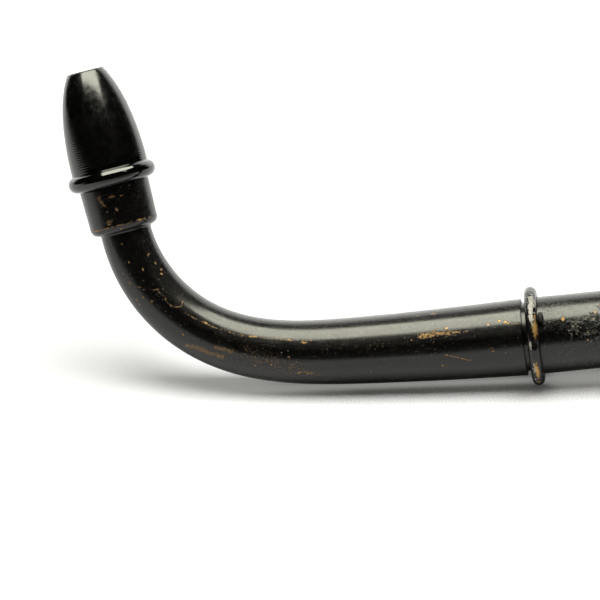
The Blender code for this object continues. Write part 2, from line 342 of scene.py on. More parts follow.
world = bpy.data.worlds.new("room")
bpy.context.scene.world = world
world.use_nodes = True
tree = world.node_tree
path = put(tree, "LightPath").outputs
way = put(tree, "SeparateXYZ", Vector=put(tree, "TexCoord").outputs["Generated"]).outputs
backdrop = times(tree, ease(tree, way["Y"], *BACK_PART), ease(tree, way["Z"], *OVERHEAD_PART, 1.0, 0.0))
room = ease(tree, backdrop, 0.0, 1.0, ROOM_DARK, ROOM_BACK)
room = ease(tree, path["Is Diffuse Ray"], 0.0, 1.0, room, ROOM_FILL)
room = ease(tree, path["Is Camera Ray"], 0.0, 1.0, room, 1.0)
tint = blend(tree, path["Is Diffuse Ray"], BACK_COLOUR, FILL_COLOUR)
tint = blend(tree, path["Is Camera Ray"], tint, PURE_WHITE)
fill(tree, tree.nodes["Background"], Strength=room, Color=tint)
print("room", ROOM_FILL, "all round")

# %% [markdown]
# ## Skins from grids
# A tube, a ring or a turned tip is a closed outline carried round an axis. Blender's Spin could do it, but a
# grid of points also tells how far along and how far round each point lies, and the wear needs just that.
# Outlines are given by their corners. Each corner is rounded a little, because no real edge is sharp and a
# small round catches the light.

# %% Helpers for shapes
def rounded(corners, radius, steps=5):
    """Closed outline with each corner replaced by a short curve.

    The curve leaves the corner's two sides at the radius' distance, or at under half a side, and is the
    weighted mean of its two ends and the corner, with weights (1-t)^2, t^2 and 2t(1-t).
    """
    corners = np.asarray(corners, float)
    radius = np.broadcast_to(np.asarray(radius, float), len(corners))[:, None]
    before = np.roll(corners, 1, axis=0) - corners
    after = np.roll(corners, -1, axis=0) - corners
    before_length = np.linalg.norm(before, axis=1, keepdims=True)
    after_length = np.linalg.norm(after, axis=1, keepdims=True)
    start = corners + before / before_length * np.minimum(radius, 0.45 * before_length)
    stop = corners + after / after_length * np.minimum(radius, 0.45 * after_length)
    t = np.linspace(0.0, 1.0, steps)[None, :, None]
    curve = (1 - t) ** 2 * start[:, None] + 2 * t * (1 - t) * corners[:, None] + t ** 2 * stop[:, None]
    return curve.reshape(-1, 2)


def dense(outline, spacing):
    """Closed outline with points added so that no step is longer than the spacing there.

    Each side is cut in as many equal steps as its length holds spacings, and points lie evenly on it.
    """
    following = np.roll(outline, -1, axis=0)
    length = np.linalg.norm(following - outline, axis=1)
    cuts = np.maximum(1, np.ceil(length / np.broadcast_to(spacing, len(outline)))).astype(int)
    owner = np.repeat(np.arange(len(outline)), cuts)
    first = np.repeat(np.cumsum(cuts) - cuts, cuts)
    share = ((np.arange(cuts.sum()) - first) / cuts[owner])[:, None]
    return outline[owner] * (1 - share) + following[owner] * share


def turn_round(outline, origin, axis, face, up, columns):
    """Carries an outline of (radius, height) round an axis.

    Point = origin + height x axis + radius x (cos(around) x face + sin(around) x up).
    Returns the points, the height, the angle and the radius of each, as grids.
    """
    around = np.linspace(-np.pi, np.pi, columns, endpoint=False)[None, :]
    radius, along = outline[:, :1], outline[:, 1:]
    out = np.cos(around)[..., None] * face + np.sin(around)[..., None] * up
    points = origin + along[..., None] * axis + radius[..., None] * out
    grid = np.zeros((len(outline), columns))
    return points, along + grid, around + grid, radius + grid


def add_skin(name, points, along, around, radius, body, node, material, slot, **wear):
    """Mesh of a grid that closes both ways, facing outwards, with its attributes and its place in the part.

    straight is the surface laid out straight: (along, radius cos, radius sin). Faces join each point to the
    next in its row and in the next row. They are turned round if the volume that they enclose is negative.
    """
    rows, columns = along.shape
    index = np.arange(rows * columns).reshape(rows, columns)
    right, below = np.roll(index, -1, axis=1), np.roll(index, -1, axis=0)
    faces = np.stack([index, right, np.roll(right, -1, axis=0), below], axis=-1).reshape(-1, 4)
    flat = points.reshape(-1, 3)
    a, b, c, d = (flat[faces[:, k]] for k in range(4))
    volume = (np.cross(b - a, c - a) * a).sum() + (np.cross(c - a, d - a) * a).sum()
    if volume < 0:
        faces = faces[:, ::-1]
    mesh = bpy.data.meshes.new(name)
    mesh.from_pydata(flat.tolist(), [], faces.tolist())
    mesh.shade_smooth()

    row_of, column_of = np.divmod(faces, columns)
    last_row = row_of.max(axis=1, keepdims=True) == rows - 1
    last_column = column_of.max(axis=1, keepdims=True) == columns - 1
    row_of = np.where((row_of == 0) & last_row, rows, row_of)
    column_of = np.where((column_of == 0) & last_column, columns, column_of)
    chart = np.stack([row_of / rows, column_of / columns], axis=-1)
    mesh.uv_layers.new(name="along_around").data.foreach_set("uv", chart.astype(np.float32).ravel())
    straight = np.stack([along, radius * np.cos(around), radius * np.sin(around)], axis=-1)
    layer = mesh.attributes.new("straight", "FLOAT_VECTOR", "POINT")
    layer.data.foreach_set("vector", straight.astype(np.float32).ravel())
    for label, values in wear.items():
        layer = mesh.attributes.new(label, "FLOAT", "POINT")
        layer.data.foreach_set("value", np.broadcast_to(values, along.shape).astype(np.float32).ravel())

    mesh.materials.append(material)
    piece = bpy.data.objects.new(name, mesh)
    bpy.context.scene.collection.objects.link(piece)
    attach(piece, body)
    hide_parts(node)
    print(name, len(faces), "faces")


# %% [markdown]
# ## Wear by hand
# Old enamel chips where it is knocked and rubbed. A noise texture alone puts chips anywhere, so the places
# are listed, in millimetres along and degrees round each piece, as soft spots and soft trails.
# The material later breaks them up with fine noise, which gives the ragged edges.

# %% Helpers for wear
DASH_DEPTH = 0.75


def spots(along, around, radius, marks):
    """Strongest of many soft spots at each point.

    A mark is (along mm, round degrees, half length mm, half width mm, slant degrees, strength). Its value is
    strength x exp(-(p/half length)^2 - (q/half width)^2), with p and q the offsets turned by the slant.
    """
    at, degrees, long, wide, slant, strength = np.array(marks, float).T[:, :, None, None]
    forward = along[None] - at * MM
    sideways = radius[None] * ((around[None] - np.radians(degrees) + np.pi) % (2 * np.pi) - np.pi)
    cos, sin = np.cos(np.radians(slant)), np.sin(np.radians(slant))
    p = (cos * forward + sin * sideways) / (long * MM)
    q = (cos * sideways - sin * forward) / (wide * MM)
    return (strength * np.exp(-p ** 2 - q ** 2)).max(axis=0)


def trail(along, around, radius, stops, width, strength, dash=0.0):
    """Soft line through stops of (along mm, round degrees), in dashes of about dash mm if that is given.

    The value is strength x exp(-(distance to the nearest stretch / width in mm)^2), with the distance on
    the skin. A wave that runs over the skin at uneven speed takes up to DASH_DEPTH of it away.
    """
    stops = np.array(stops, float)
    at, degrees = stops[:, 0] * MM, np.radians(stops[:, 1])
    forward = along[None] - at[:-1, None, None]
    sideways = radius[None] * ((around[None] - degrees[:-1, None, None] + np.pi) % (2 * np.pi) - np.pi)
    run = (at[1:] - at[:-1])[:, None, None]
    swing = radius[None] * (degrees[1:] - degrees[:-1])[:, None, None]
    share = np.clip((forward * run + sideways * swing) / (run ** 2 + swing ** 2), 0.0, 1.0)
    distance = np.hypot(forward - share * run, sideways - share * swing).min(axis=0)
    line = strength * np.exp(-(distance / (width * MM)) ** 2)
    if not dash:
        return line
    phase = 2 * np.pi * (along + 0.6 * radius * around) / (dash * MM)
    return line * (1 - DASH_DEPTH * (0.5 + 0.5 * np.sin(phase + 2.5 * np.sin(phase / 2.7))))


def strongest(*layers):
    """The largest of several layers at each point."""
    return np.max(np.stack(layers), axis=0)


def trails(along, around, radius, lines):
    """Strongest of several trails, each given by its stops, width, strength and, for some, dash."""
    return strongest(*(trail(along, around, radius, *line) for line in lines))


print("wear helpers ready")

# %% [markdown]
# ## Chipped enamel
# The tubes are brass, coated with black stoving enamel. Where it has come off, the brass is dull and ochre.
# Several pieces share this finish, so it is one node group: it takes a place and how far the enamel has gone,
# and gives back a colour, where metal is bare, how rough the surface is and how high it stands.

# %% Enamel as a node group
chipping = bpy.data.node_groups.new("chipped_enamel", "ShaderNodeTree")
sockets = (
    ("INPUT", "Vector", "Place"), ("INPUT", "Float", "Flaked"), ("INPUT", "Float", "Stained"),
    ("OUTPUT", "Color", "Colour"), ("OUTPUT", "Float", "Bare"), ("OUTPUT", "Float", "Roughness"),
    ("OUTPUT", "Float", "Height"),
)
for in_out, kind, label in sockets:
    chipping.interface.new_socket(label, in_out=in_out, socket_type="NodeSocket" + kind)
given = chipping.nodes.new("NodeGroupInput").outputs
result = chipping.nodes.new("NodeGroupOutput")
place = given["Place"]
print("group", chipping.name, len(sockets), "sockets")

# %% Bare metal and stains
CHIP_SIZE = 0.00045
CHIP_EDGE = 0.00017
COARSE_SHARE = 0.6
FINE_SHARE = 0.4
BARE_EDGE = (0.0, 0.1)
THIN_EDGE = (-0.16, 0.02)
THIN_NEAR_CHIPS = (0.05, 0.4)
THIN_STAIN = 0.35
STAIN_EDGE = (0.0, 0.25)

coarse = noise(chipping, place, 1 / CHIP_SIZE, 3.0)
ragged = noise(chipping, place, 1 / CHIP_EDGE)
mottle = calc(chipping, "MULTIPLY_ADD", coarse, COARSE_SHARE, times(chipping, ragged, FINE_SHARE))
flaked_past = calc(chipping, "ADD", calc(chipping, "SUBTRACT", given["Flaked"], 1.0), mottle)
stained_past = calc(chipping, "ADD", calc(chipping, "SUBTRACT", given["Stained"], 1.0), mottle)
bare = ease(chipping, flaked_past, *BARE_EDGE)
near_chip = ease(chipping, given["Flaked"], *THIN_NEAR_CHIPS)
thin = times(chipping, ease(chipping, flaked_past, *THIN_EDGE), near_chip)
stain = ease(chipping, stained_past, *STAIN_EDGE)
stain = calc(chipping, "MAXIMUM", times(chipping, thin, THIN_STAIN), stain)
print("chips of about", CHIP_SIZE, "m")

# %% Colours of enamel, brass and dust
ENAMEL_BLACK = (0.0009, 0.0008, 0.0006, 1.0)
ENAMEL_BROWN = (0.070, 0.040, 0.012, 1.0)
BRASS_DULL = (0.16, 0.096, 0.037, 1.0)
BRASS_BRIGHT = (0.46, 0.270, 0.085, 1.0)
BRIGHT_PART = (0.05, 0.75)
DUST_GREY = (0.26, 0.25, 0.22, 1.0)
SPECK_GOLD = (0.16, 0.095, 0.038, 1.0)
GOLD_PART = (0.3, 0.5)
DUSTIER = 0.6
SPECK_CORE = 0.3
CLEAN_EDGE = 0.15
COARSE_DUST = (650.0, 0.15, 0.74, 0.6)
FINE_DUST = (1500.0, 0.24, 0.64, 0.4)

paint = blend(chipping, stain, ENAMEL_BLACK, ENAMEL_BROWN)
metal = blend(chipping, ease(chipping, flaked_past, *BRIGHT_PART), BRASS_DULL, BRASS_BRIGHT)
for cells, large, clean, strength in (COARSE_DUST, FINE_DUST):
    cell = put(chipping, "TexVoronoi", Vector=place, Scale=cells).outputs
    chosen = put(chipping, "SeparateColor", Color=cell["Color"]).outputs
    dust = ease(chipping, cell["Distance"], SPECK_CORE * large, large, strength, 0.0)
    likely = calc(chipping, "MULTIPLY_ADD", given["Stained"], DUSTIER, chosen["Red"])
    dust = times(chipping, dust, ease(chipping, likely, clean, clean + CLEAN_EDGE))
    speck = blend(chipping, ease(chipping, chosen["Green"], *GOLD_PART), DUST_GREY, SPECK_GOLD)
    paint = blend(chipping, dust, paint, speck)
fill(chipping, result, Colour=blend(chipping, bare, paint, metal), Bare=bare)
print("dust of", COARSE_DUST[0], "and", FINE_DUST[0], "cells a metre")

# %% Roughness and height of the enamel
GRAIN_SIZE = 0.00016
GRAIN_HEIGHT = 0.08
PIT_SIZE = 0.00028
PIT_EDGE = (0.78, 0.84)
PIT_HEIGHT = -0.3
CHIP_HEIGHT = -0.8
WORN_CELLS = 260.0
PAINT_ROUGH = 0.13
GRAIN_ROUGH = 0.06
WORN_ROUGH = 0.07
STAIN_ROUGH = 0.15
BARE_ROUGH = 0.46

grain = noise(chipping, place, 1 / GRAIN_SIZE)
worn = noise(chipping, place, WORN_CELLS, 3.0)
rough = calc(chipping, "MULTIPLY_ADD", grain, GRAIN_ROUGH, PAINT_ROUGH)
rough = calc(chipping, "MULTIPLY_ADD", worn, WORN_ROUGH, rough)
rough = calc(chipping, "ADD", rough, times(chipping, stain, STAIN_ROUGH))
pits = ease(chipping, noise(chipping, place, 1 / PIT_SIZE, 1.0), *PIT_EDGE)
dips = calc(chipping, "MULTIPLY_ADD", pits, PIT_HEIGHT, times(chipping, bare, CHIP_HEIGHT))
fill(chipping, result, Roughness=ease(chipping, bare, 0.0, 1.0, rough, BARE_ROUGH),
     Height=calc(chipping, "MULTIPLY_ADD", grain, GRAIN_HEIGHT, dips))
print("group", chipping.name, len(chipping.nodes), "nodes")

# %% Enamel material
METAL_SHARE = 0.65
ENAMEL_IOR = 1.46
CHIP_DEPTH = 0.00006
CHIP_STRENGTH = 0.6


def enamel_material(name):
    """Enamel that reads a piece's flaked and stained attributes."""
    material, tree, shader = new_material(name)
    finish = put(tree, "Group", {"node_tree": chipping}, Place=read(tree, "straight", "Vector"),
                 Flaked=read(tree, "flaked"), Stained=read(tree, "stained")).outputs
    fill(tree, shader, Base_Color=finish["Colour"], Metallic=times(tree, finish["Bare"], METAL_SHARE),
         Roughness=finish["Roughness"], IOR=ENAMEL_IOR,
         Normal=bumped(tree, finish["Height"], CHIP_DEPTH, CHIP_STRENGTH))
    return material, tree, shader


enamel, _, _ = enamel_material("black_enamel_chipped")
print("material", enamel.name)

# %% [markdown]
# ## The neck
# The neck is a brass tube that was tapered, filled and bent. A curve with a bevel could follow it. Here
# its centreline is worked out from its curvature, which is slight along the tail and eases up to the bend,
# and a circle that shrinks towards the ear is carried along it.

# %% Neck centreline
NECK_LENGTH = 0.1127
NECK_TAIL = 0.0340
NECK_TAIL_BEND = 1.08
NECK_EASE = 0.0531
NECK_BEND = 0.0381
NECK_LARGE_RADIUS = 0.009525
NECK_SMALL_RADIUS = 0.00635
NECK_STRAIGHT_SHARE = 0.9
NECK_INTO_FERRULE = 0.0025
NECK_STATIONS = 451
SHEET = 0.0006


def running_sum(values, step):
    """Sum from the first value on, each step counting the mean of its two ends."""
    return np.concatenate([[0.0], np.cumsum((values[1:] + values[:-1]) / 2 * step)])


def neck_centreline(stations):
    """Places, inward normals and radii along the neck from the barrel's side.

    Curvature = slight + (full - slight) x a half cosine that eases in past the tail. The heading is its
    running sum, and the place is the running sum of (-cos heading, sin heading). The radius shrinks nearly
    evenly: small + (large - small) x (0.9 u + 0.1 u^2), with u from 1 at the barrel to 0 at the ferrule.
    """
    along = np.linspace(0.0, NECK_LENGTH, stations)
    step = along[1]
    slight, full = 1 / NECK_TAIL_BEND, 1 / NECK_BEND
    eased = 0.5 - 0.5 * np.cos(np.pi * np.clip((along - NECK_TAIL) / NECK_EASE, 0.0, 1.0))
    heading = running_sum(slight + (full - slight) * eased, step)
    run, climb = running_sum(-np.cos(heading), step), running_sum(np.sin(heading), step)
    place = neck_start + run[:, None] * horn_axis + climb[:, None] * bend_up
    inward = np.sin(heading)[:, None] * horn_axis + np.cos(heading)[:, None] * bend_up
    ahead = np.sin(heading)[:, None] * bend_up - np.cos(heading)[:, None] * horn_axis
    left = 1.0 - along / NECK_LENGTH
    growth = NECK_STRAIGHT_SHARE * left + (1 - NECK_STRAIGHT_SHARE) * left ** 2
    radius = NECK_SMALL_RADIUS + (NECK_LARGE_RADIUS - NECK_SMALL_RADIUS) * growth
    return along, place, inward, ahead, radius


neck_along, neck_place, neck_inward, neck_ahead, neck_radius = neck_centreline(NECK_STATIONS)
tip_axis, tip_inward = neck_ahead[-1], neck_inward[-1]
print("neck ends at", neck_place[-1].round(4), "heading", tip_axis.round(3))

# %% Neck skin
NECK_COLUMNS = 184
BORE_STATIONS = 60
END_ROUND = 0.00018
END_PULL = np.array([1.0, 0.5, 0.15])
END_LEAD = np.array([0.0, 0.04, 0.12]) * MM


def neck_outline():
    """Outer radius from the barrel's end to inside the ferrule, then back along the bore.

    The end that faces the barrel is rounded by pulling its first stations in.
    """
    front = np.stack([END_LEAD, neck_radius[0] - END_ROUND * END_PULL], axis=1)
    body = np.stack([neck_along[1:], neck_radius[1:]], axis=1)
    tail = np.array([[NECK_LENGTH + 0.5 * NECK_INTO_FERRULE, NECK_SMALL_RADIUS],
                     [NECK_LENGTH + NECK_INTO_FERRULE, NECK_SMALL_RADIUS]])
    back = np.linspace(NECK_LENGTH + NECK_INTO_FERRULE, 0.0, BORE_STATIONS)
    bore = np.stack([back, np.interp(back, neck_along, neck_radius) - SHEET], axis=1)
    return np.concatenate([front, body, tail, bore])


outline = neck_outline()
reach = np.clip(outline[:, 0], 0.0, NECK_LENGTH)
beyond = (outline[:, 0] - reach)[:, None]
centre = np.stack([np.interp(reach, neck_along, neck_place[:, k]) for k in range(3)], axis=1)
inward = np.stack([np.interp(reach, neck_along, neck_inward[:, k]) for k in range(3)], axis=1)
centre = centre + beyond * tip_axis
around = np.linspace(-np.pi, np.pi, NECK_COLUMNS, endpoint=False)[None, :]
ring = np.cos(around)[..., None] * bend_face + np.sin(around)[..., None] * inward[:, None, :]
neck_points = centre[:, None, :] + outline[:, 1][:, None, None] * ring
plain = np.zeros(neck_points.shape[:2])
along, around, radius = outline[:, :1] + plain, around + plain, outline[:, 1:] + plain
outside = radius > np.interp(np.clip(along, 0, NECK_LENGTH), neck_along, neck_radius) - SHEET / 2
print("neck grid", along.shape)

# %% Neck wear
UPPER_BEND_CHIPS = [
    (110.4, -10, 0.25, 0.22, 0, 1.2), (108.0, -45, 0.30, 0.25, 0, 1.1), (105.3, 37, 0.55, 0.35, 40, 1.4),
    (102.2, 42, 0.36, 0.32, 0, 1.4), (99.9, 46, 0.45, 0.30, 10, 1.4), (98.8, 40, 0.60, 0.32, -20, 1.4),
    (102.4, 10, 0.50, 0.28, 10, 1.25), (105.6, -10, 0.30, 0.25, 0, 1.1), (103.7, -37, 0.50, 0.30, 30, 1.25),
    (101.8, -21, 0.26, 0.25, 0, 1.15), (97.4, -43, 0.50, 0.30, 0, 1.25), (96.1, -45, 0.36, 0.30, 0, 1.25),
    (96.9, -24, 0.30, 0.30, 0, 1.2), (94.7, -14, 0.36, 0.36, 0, 1.25), (98.5, -48, 0.25, 0.25, 0, 1.1),
    (85.3, -25, 0.25, 0.40, 0, 1.1), (84.2, -23, 0.25, 0.40, 0, 1.1), (89.6, -25, 0.25, 0.25, 0, 1.1),
]
LOWER_BEND_CHIPS = [
    (80.8, 21, 0.80, 0.35, 10, 1.4), (67.5, 25, 1.50, 0.30, 0, 1.15), (58.5, 26, 1.50, 0.26, 0, 1.15),
    (54.3, 21, 1.20, 0.30, 5, 1.25), (55.5, -36, 0.50, 0.30, 0, 1.25), (53.3, -38, 0.70, 0.30, 0, 1.3),
    (50.7, -41, 0.36, 0.30, 0, 1.25), (62.1, -25, 0.45, 0.40, 0, 1.2), (66.1, -31, 0.36, 0.30, 0, 1.2),
    (58.0, -6, 0.36, 0.30, 0, 1.2), (57.4, -20, 0.30, 0.30, 0, 1.15), (56.0, -15, 0.30, 0.40, 0, 1.15),
]
TAIL_CHIPS = [
    (18.7, 29, 0.45, 0.32, 0, 1.4), (22.1, 8, 0.26, 0.25, 0, 1.15), (27.5, 15, 0.30, 0.30, 0, 1.15),
    (8.3, 29, 0.42, 0.36, 0, 1.5), (5.6, 33, 0.58, 0.30, 0, 1.5), (4.1, 30, 0.55, 0.40, -30, 1.6),
    (3.4, 27, 0.60, 0.28, -30, 1.4), (20.4, -32, 0.42, 0.32, 0, 1.4), (19.6, -32, 0.25, 0.22, 0, 1.1),
    (8.3, -9, 0.85, 0.26, -8, 1.15), (7.6, -14, 0.34, 0.30, 0, 1.3), (4.6, -18, 0.24, 0.22, 0, 1.1),
    (25.6, 63, 0.60, 0.40, 0, 1.0), (21.8, 65, 1.20, 0.45, 0, 0.95),
]
CRAWLING_SCRATCH = [
    (101.4, -33), (99.8, -23), (99.1, -16), (98.2, -12), (97.7, -1), (96.6, 4), (96.3, 12), (94.9, 10),
    (93.7, 13), (92.8, 10), (91.5, 7), (90.1, 10), (89.1, 16), (88.7, 20), (88.8, 24), (89.2, 34),
]
RUBBED_LINE = [
    (86.6, 16), (82.3, 19), (77.9, 20), (75.6, 24), (73.0, 21), (67.3, 26), (61.7, 27), (52.4, 25),
]
ORANGE_STREAK = [(82.2, -43), (79.6, -33), (76.3, -32), (73.8, -30)]
SHORT_STREAK = [(75.9, -15), (73.7, -13), (71.9, -13)]
GRANULAR_BAND = [(25.3, 20), (23.4, 21), (21.0, 23), (18.6, 21), (16.9, 22)]
BAND_TAIL = [(16.9, 22), (14.8, 20), (12.9, 21), (12.2, 24)]
LONG_SCRATCH = [(19.5, -13), (15.9, -21), (12.9, -27)]
HAIR_SCRATCH = [(3.0, 26), (0.8, 25)]
SPECKLED = [(60.0, -26, 10.0, 2.6, 11, 0.32), (54.0, -37, 4.0, 1.2, 4, 0.40)]
DUSTY = [(63.0, -20, 15.0, 4.0, 9, 0.45), (88.0, -22, 9.0, 3.0, 0, 0.25), (36.0, 6, 22.0, 3.0, 0, 0.23)]
BACK_FROM, BACK_SHARE, BACK_ROUND = 5, 0.9, 175
BACK_CHIPS = [
    (BACK_FROM + BACK_SHARE * mark[0], BACK_ROUND - mark[1], *mark[2:])
    for mark in UPPER_BEND_CHIPS + TAIL_CHIPS
]
NECK_LINES = [
    (CRAWLING_SCRATCH, 0.25, 0.77, 0.7), (RUBBED_LINE, 0.24, 0.69, 0.7), (ORANGE_STREAK, 0.60, 0.50),
    (SHORT_STREAK, 0.40, 0.50), (GRANULAR_BAND, 0.95, 0.60), (BAND_TAIL, 0.24, 0.82, 1.2),
    (LONG_SCRATCH, 0.16, 0.85), (HAIR_SCRATCH, 0.15, 0.65),
]
NECK_STAINS = [(ORANGE_STREAK, 0.90, 1.0), (SHORT_STREAK, 0.65, 0.95)]
CHIP_SHARE = 0.68

skin = (along, around, radius)
chip_lists = (UPPER_BEND_CHIPS, LOWER_BEND_CHIPS, TAIL_CHIPS + BACK_CHIPS)
chips = CHIP_SHARE * strongest(*(spots(*skin, marks) for marks in chip_lists))
flaked = strongest(chips, spots(*skin, SPECKLED), trails(*skin, NECK_LINES))
stained = strongest(trails(*skin, NECK_STAINS), spots(*skin, DUSTY))
add_skin("neck_skin", neck_points, *skin, "neck", "neck_tube", enamel, "black_enamel",
         flaked=flaked * outside, stained=stained * outside)

# %% [markdown]
# ## The ferrule
# A short brass socket holds the ear tip. Its lower edge has a crease and then turns in to the neck, where a
# fillet of solder stands. The crease is where hands have rubbed it to brass. The outline is turned round the
# tip's axis.

# %% Ferrule
GAP = 0.0003
SNUG_GAP = 0.4 * GAP
FERRULE_RADIUS = 0.00855
FERRULE_LENGTH = 0.0115
FERRULE_BORE = 0.00775
FERRULE_FLOOR = 0.0022
FERRULE_COLUMNS = 168
TIP_BEAD_WIRE = 0.00218
TIP_LIFT = 0.0003
TOP_FLARE = 0.00022
TURNED_UP = 0.0005
CREASE_UP = 1.6 * MM
TURN_UP = 0.6 * MM
TURN_IN = 0.42 * MM
FOOT_IN = 1.4 * MM
FILLET_HEIGHT = 0.0003
FILLET_REACH = 0.0004
FILLET_LAP = 0.25 * MM
FILLET_BACK = 0.2 * MM

tip_origin = neck_place[-1] + (FERRULE_LENGTH + GAP + TIP_BEAD_WIRE) * tip_axis


def round_tip(outline, columns, lift=0.0):
    """Carries an outline round the ear tip's axis, with heights from the middle of the tip's bead."""
    return turn_round(outline, tip_origin + lift * tip_axis, tip_axis, bend_face, tip_inward, columns)


ferrule_top = TIP_LIFT - TIP_BEAD_WIRE - SNUG_GAP
ferrule_bottom = -TIP_BEAD_WIRE - GAP - FERRULE_LENGTH + TURNED_UP
hole = NECK_SMALL_RADIUS + GAP
ferrule_corners = [
    (FERRULE_RADIUS + TOP_FLARE, ferrule_top), (FERRULE_RADIUS, ferrule_bottom + CREASE_UP),
    (FERRULE_RADIUS - TURN_IN, ferrule_bottom + TURN_UP), (FERRULE_RADIUS - FOOT_IN, ferrule_bottom),
    (NECK_SMALL_RADIUS + FILLET_HEIGHT, ferrule_bottom), (hole - FILLET_LAP, ferrule_bottom - FILLET_REACH),
    (hole, ferrule_bottom + FILLET_BACK), (hole, ferrule_bottom + FERRULE_FLOOR),
    (FERRULE_BORE, ferrule_bottom + FERRULE_FLOOR), (FERRULE_BORE, ferrule_top),
]
ferrule_rounds = np.array([0.15, 0.25, 0.6, 0.5, 0.2, 0.03, 0.05, 0.1, 0.1, 0.1]) * MM
outline = dense(rounded(ferrule_corners, ferrule_rounds, 6), 0.2 * MM)
skin = round_tip(outline, FERRULE_COLUMNS)
print("ferrule from", round(ferrule_bottom, 5), "to", round(ferrule_top, 5))

# %% Ferrule wear
FERRULE_BROWN = [
    (-3.8, -22, 0.50, 0.40, 0, 1.0), (-4.4, -2, 0.45, 0.90, 0, 1.0), (-4.8, 13, 0.25, 0.40, 0, 1.0),
    (-10.4, -16, 0.50, 0.95, 0, 1.2),
]
FERRULE_CHIPS = [
    (-7.8, 1, 0.42, 0.40, 0, 1.25), (-11.0, 47, 0.28, 0.28, 0, 1.2), (-11.7, 35, 0.36, 0.90, 0, 1.3),
    (-12.7, 0, 0.30, 0.45, 0, 1.2), (-10.9, -18, 0.26, 0.60, 0, 1.1),
]
BROWN_CURL = [(-4.0, -25), (-5.4, -21), (-6.2, -17)]
WORN_CREASE = [(-11.8, -66), (-11.8, -30), (-11.7, -8)]
BROKEN_CREASE = [(-11.7, -8), (-11.8, 10), (-11.7, 50), (-11.8, 150)]
FERRULE_LINES = [(WORN_CREASE, 0.20, 0.84, 3.5), (BROKEN_CREASE, 0.22, 0.66, 2.6)]
FERRULE_STAINS = [(BROWN_CURL, 0.45, 1.0)]

where = skin[1:]
outside = where[2] > FERRULE_BORE + 0.3 * MM
flaked = strongest(CHIP_SHARE * spots(*where, FERRULE_CHIPS), trails(*where, FERRULE_LINES))
stained = strongest(spots(*where, FERRULE_BROWN), trails(*where, FERRULE_STAINS))
add_skin("ferrule_skin", *skin, "neck", "tip_ferrule", enamel, "black_enamel",
         flaked=flaked * outside, stained=stained * outside)

# %% [markdown]
# ## The ear tip
# The tip is hard rubber, turned on a lathe and polished: a bullet with a bead and a corked tenon, bored
# right through. Its outline is a quarter of a long ellipse that is cut off square. The end's edge has lost a
# flake, so points near that place are pushed in. The fine rings that the tool left are a finish, not a shape.

# %% Hard rubber
RUBBER_BLACK = (0.0004, 0.0004, 0.0003, 1.0)
RUBBER_DUSTY = (0.005, 0.0046, 0.0037, 1.0)
RUBBER_IOR = 1.55
TURNING_PITCH = 0.0006
WAVES_TO_PITCH = 0.314
TURNED_PART = (0.012, 0.020)
RING_DEPTH = 0.000024
RING_STRENGTH = 0.6
RING_ROUGH = 0.03
SCRATCH_CELLS = 4200.0
SCRATCH_STRETCH = 0.03
SCRATCH_SHARE = 0.3
CLOUD_CELLS = 650.0
CLOUD_PART = (0.012, 0.018)
CLOUD_ROUGH = (0.05, 0.13)
DULL_SHARE = 0.40
FLECK_CELLS = 900.0
FLECK_SIZE = (0.05, 0.12)
FLECK_CHOSEN = (0.86, 0.9)
FLECK_SHARE = 0.9
BEAD_TO_BULLET = (0.0028, 0.0034)
BEAD_POLISH = 0.03
BULLET_POLISH = 0.15

rubber, tree, shader = new_material("turned_hard_rubber")
place = read(tree, "straight", "Vector")
along_tip = put(tree, "SeparateXYZ", Vector=place).outputs["X"]
waves = put(tree, "TexWave", {"bands_direction": "X"}, Vector=place, Scale=WAVES_TO_PITCH / TURNING_PITCH,
            Distortion=0.8, Detail=2.0)
scratches = noise(tree, stretch(tree, place, 1.0, SCRATCH_STRETCH), SCRATCH_CELLS, 2.0, 0.7)
grooves = calc(tree, "MULTIPLY_ADD", scratches, SCRATCH_SHARE, waves.outputs["Fac"])
rings = times(tree, grooves, ease(tree, along_tip, *TURNED_PART, 1.0, 0.0))
cloud = noise(tree, place, CLOUD_CELLS, 4.0)
fleck = put(tree, "TexVoronoi", Vector=place, Scale=FLECK_CELLS).outputs
chosen = put(tree, "SeparateColor", Color=fleck["Color"]).outputs["Red"]
dust = times(tree, ease(tree, fleck["Distance"], *FLECK_SIZE, 1.0, 0.0), ease(tree, chosen, *FLECK_CHOSEN))
dull = times(tree, times(tree, rings, cloud), DULL_SHARE)
pale = calc(tree, "MAXIMUM", dull, times(tree, dust, FLECK_SHARE))
polish = ease(tree, along_tip, *BEAD_TO_BULLET, BEAD_POLISH, BULLET_POLISH)
cloudy = times(tree, cloud, ease(tree, along_tip, *CLOUD_PART, *CLOUD_ROUGH))
rough = calc(tree, "MULTIPLY_ADD", rings, RING_ROUGH, calc(tree, "ADD", cloudy, polish))
fill(tree, shader, Base_Color=blend(tree, pale, RUBBER_BLACK, RUBBER_DUSTY), Roughness=rough,
     IOR=RUBBER_IOR, Normal=bumped(tree, rings, RING_DEPTH, RING_STRENGTH))
print("material", rubber.name)

# %% Ear tip
TIP_LENGTH = 0.0270
TIP_BASE_RADIUS = 0.00965
TIP_BASE_AT = 0.0025
TIP_OGIVE = 0.0284
TIP_END_TAPER = 0.0004
TIP_END_DROP = 0.12 * MM
TIP_END_IN = 0.1 * MM
TIP_BEAD_RADIUS = 0.01108
TIP_TENON_RADIUS = 0.0064
TIP_TENON_LENGTH = 0.0083
TIP_BORE = 0.0025
TIP_COLUMNS = 176
BULLET_STATIONS = 110
BEAD_STATIONS = 44
GROOVE_UP = np.array([0.3, 0.1, 0.02]) * MM
FLAKES_OUTSIDE = 0.0035
END_FLAKES = [
    (27.0, -62, 0.9, 0.8, 0, 0.22), (27.0, -80, 0.5, 0.9, 0, 0.15), (27.0, 60, 0.5, 0.5, 0, 0.10),
]


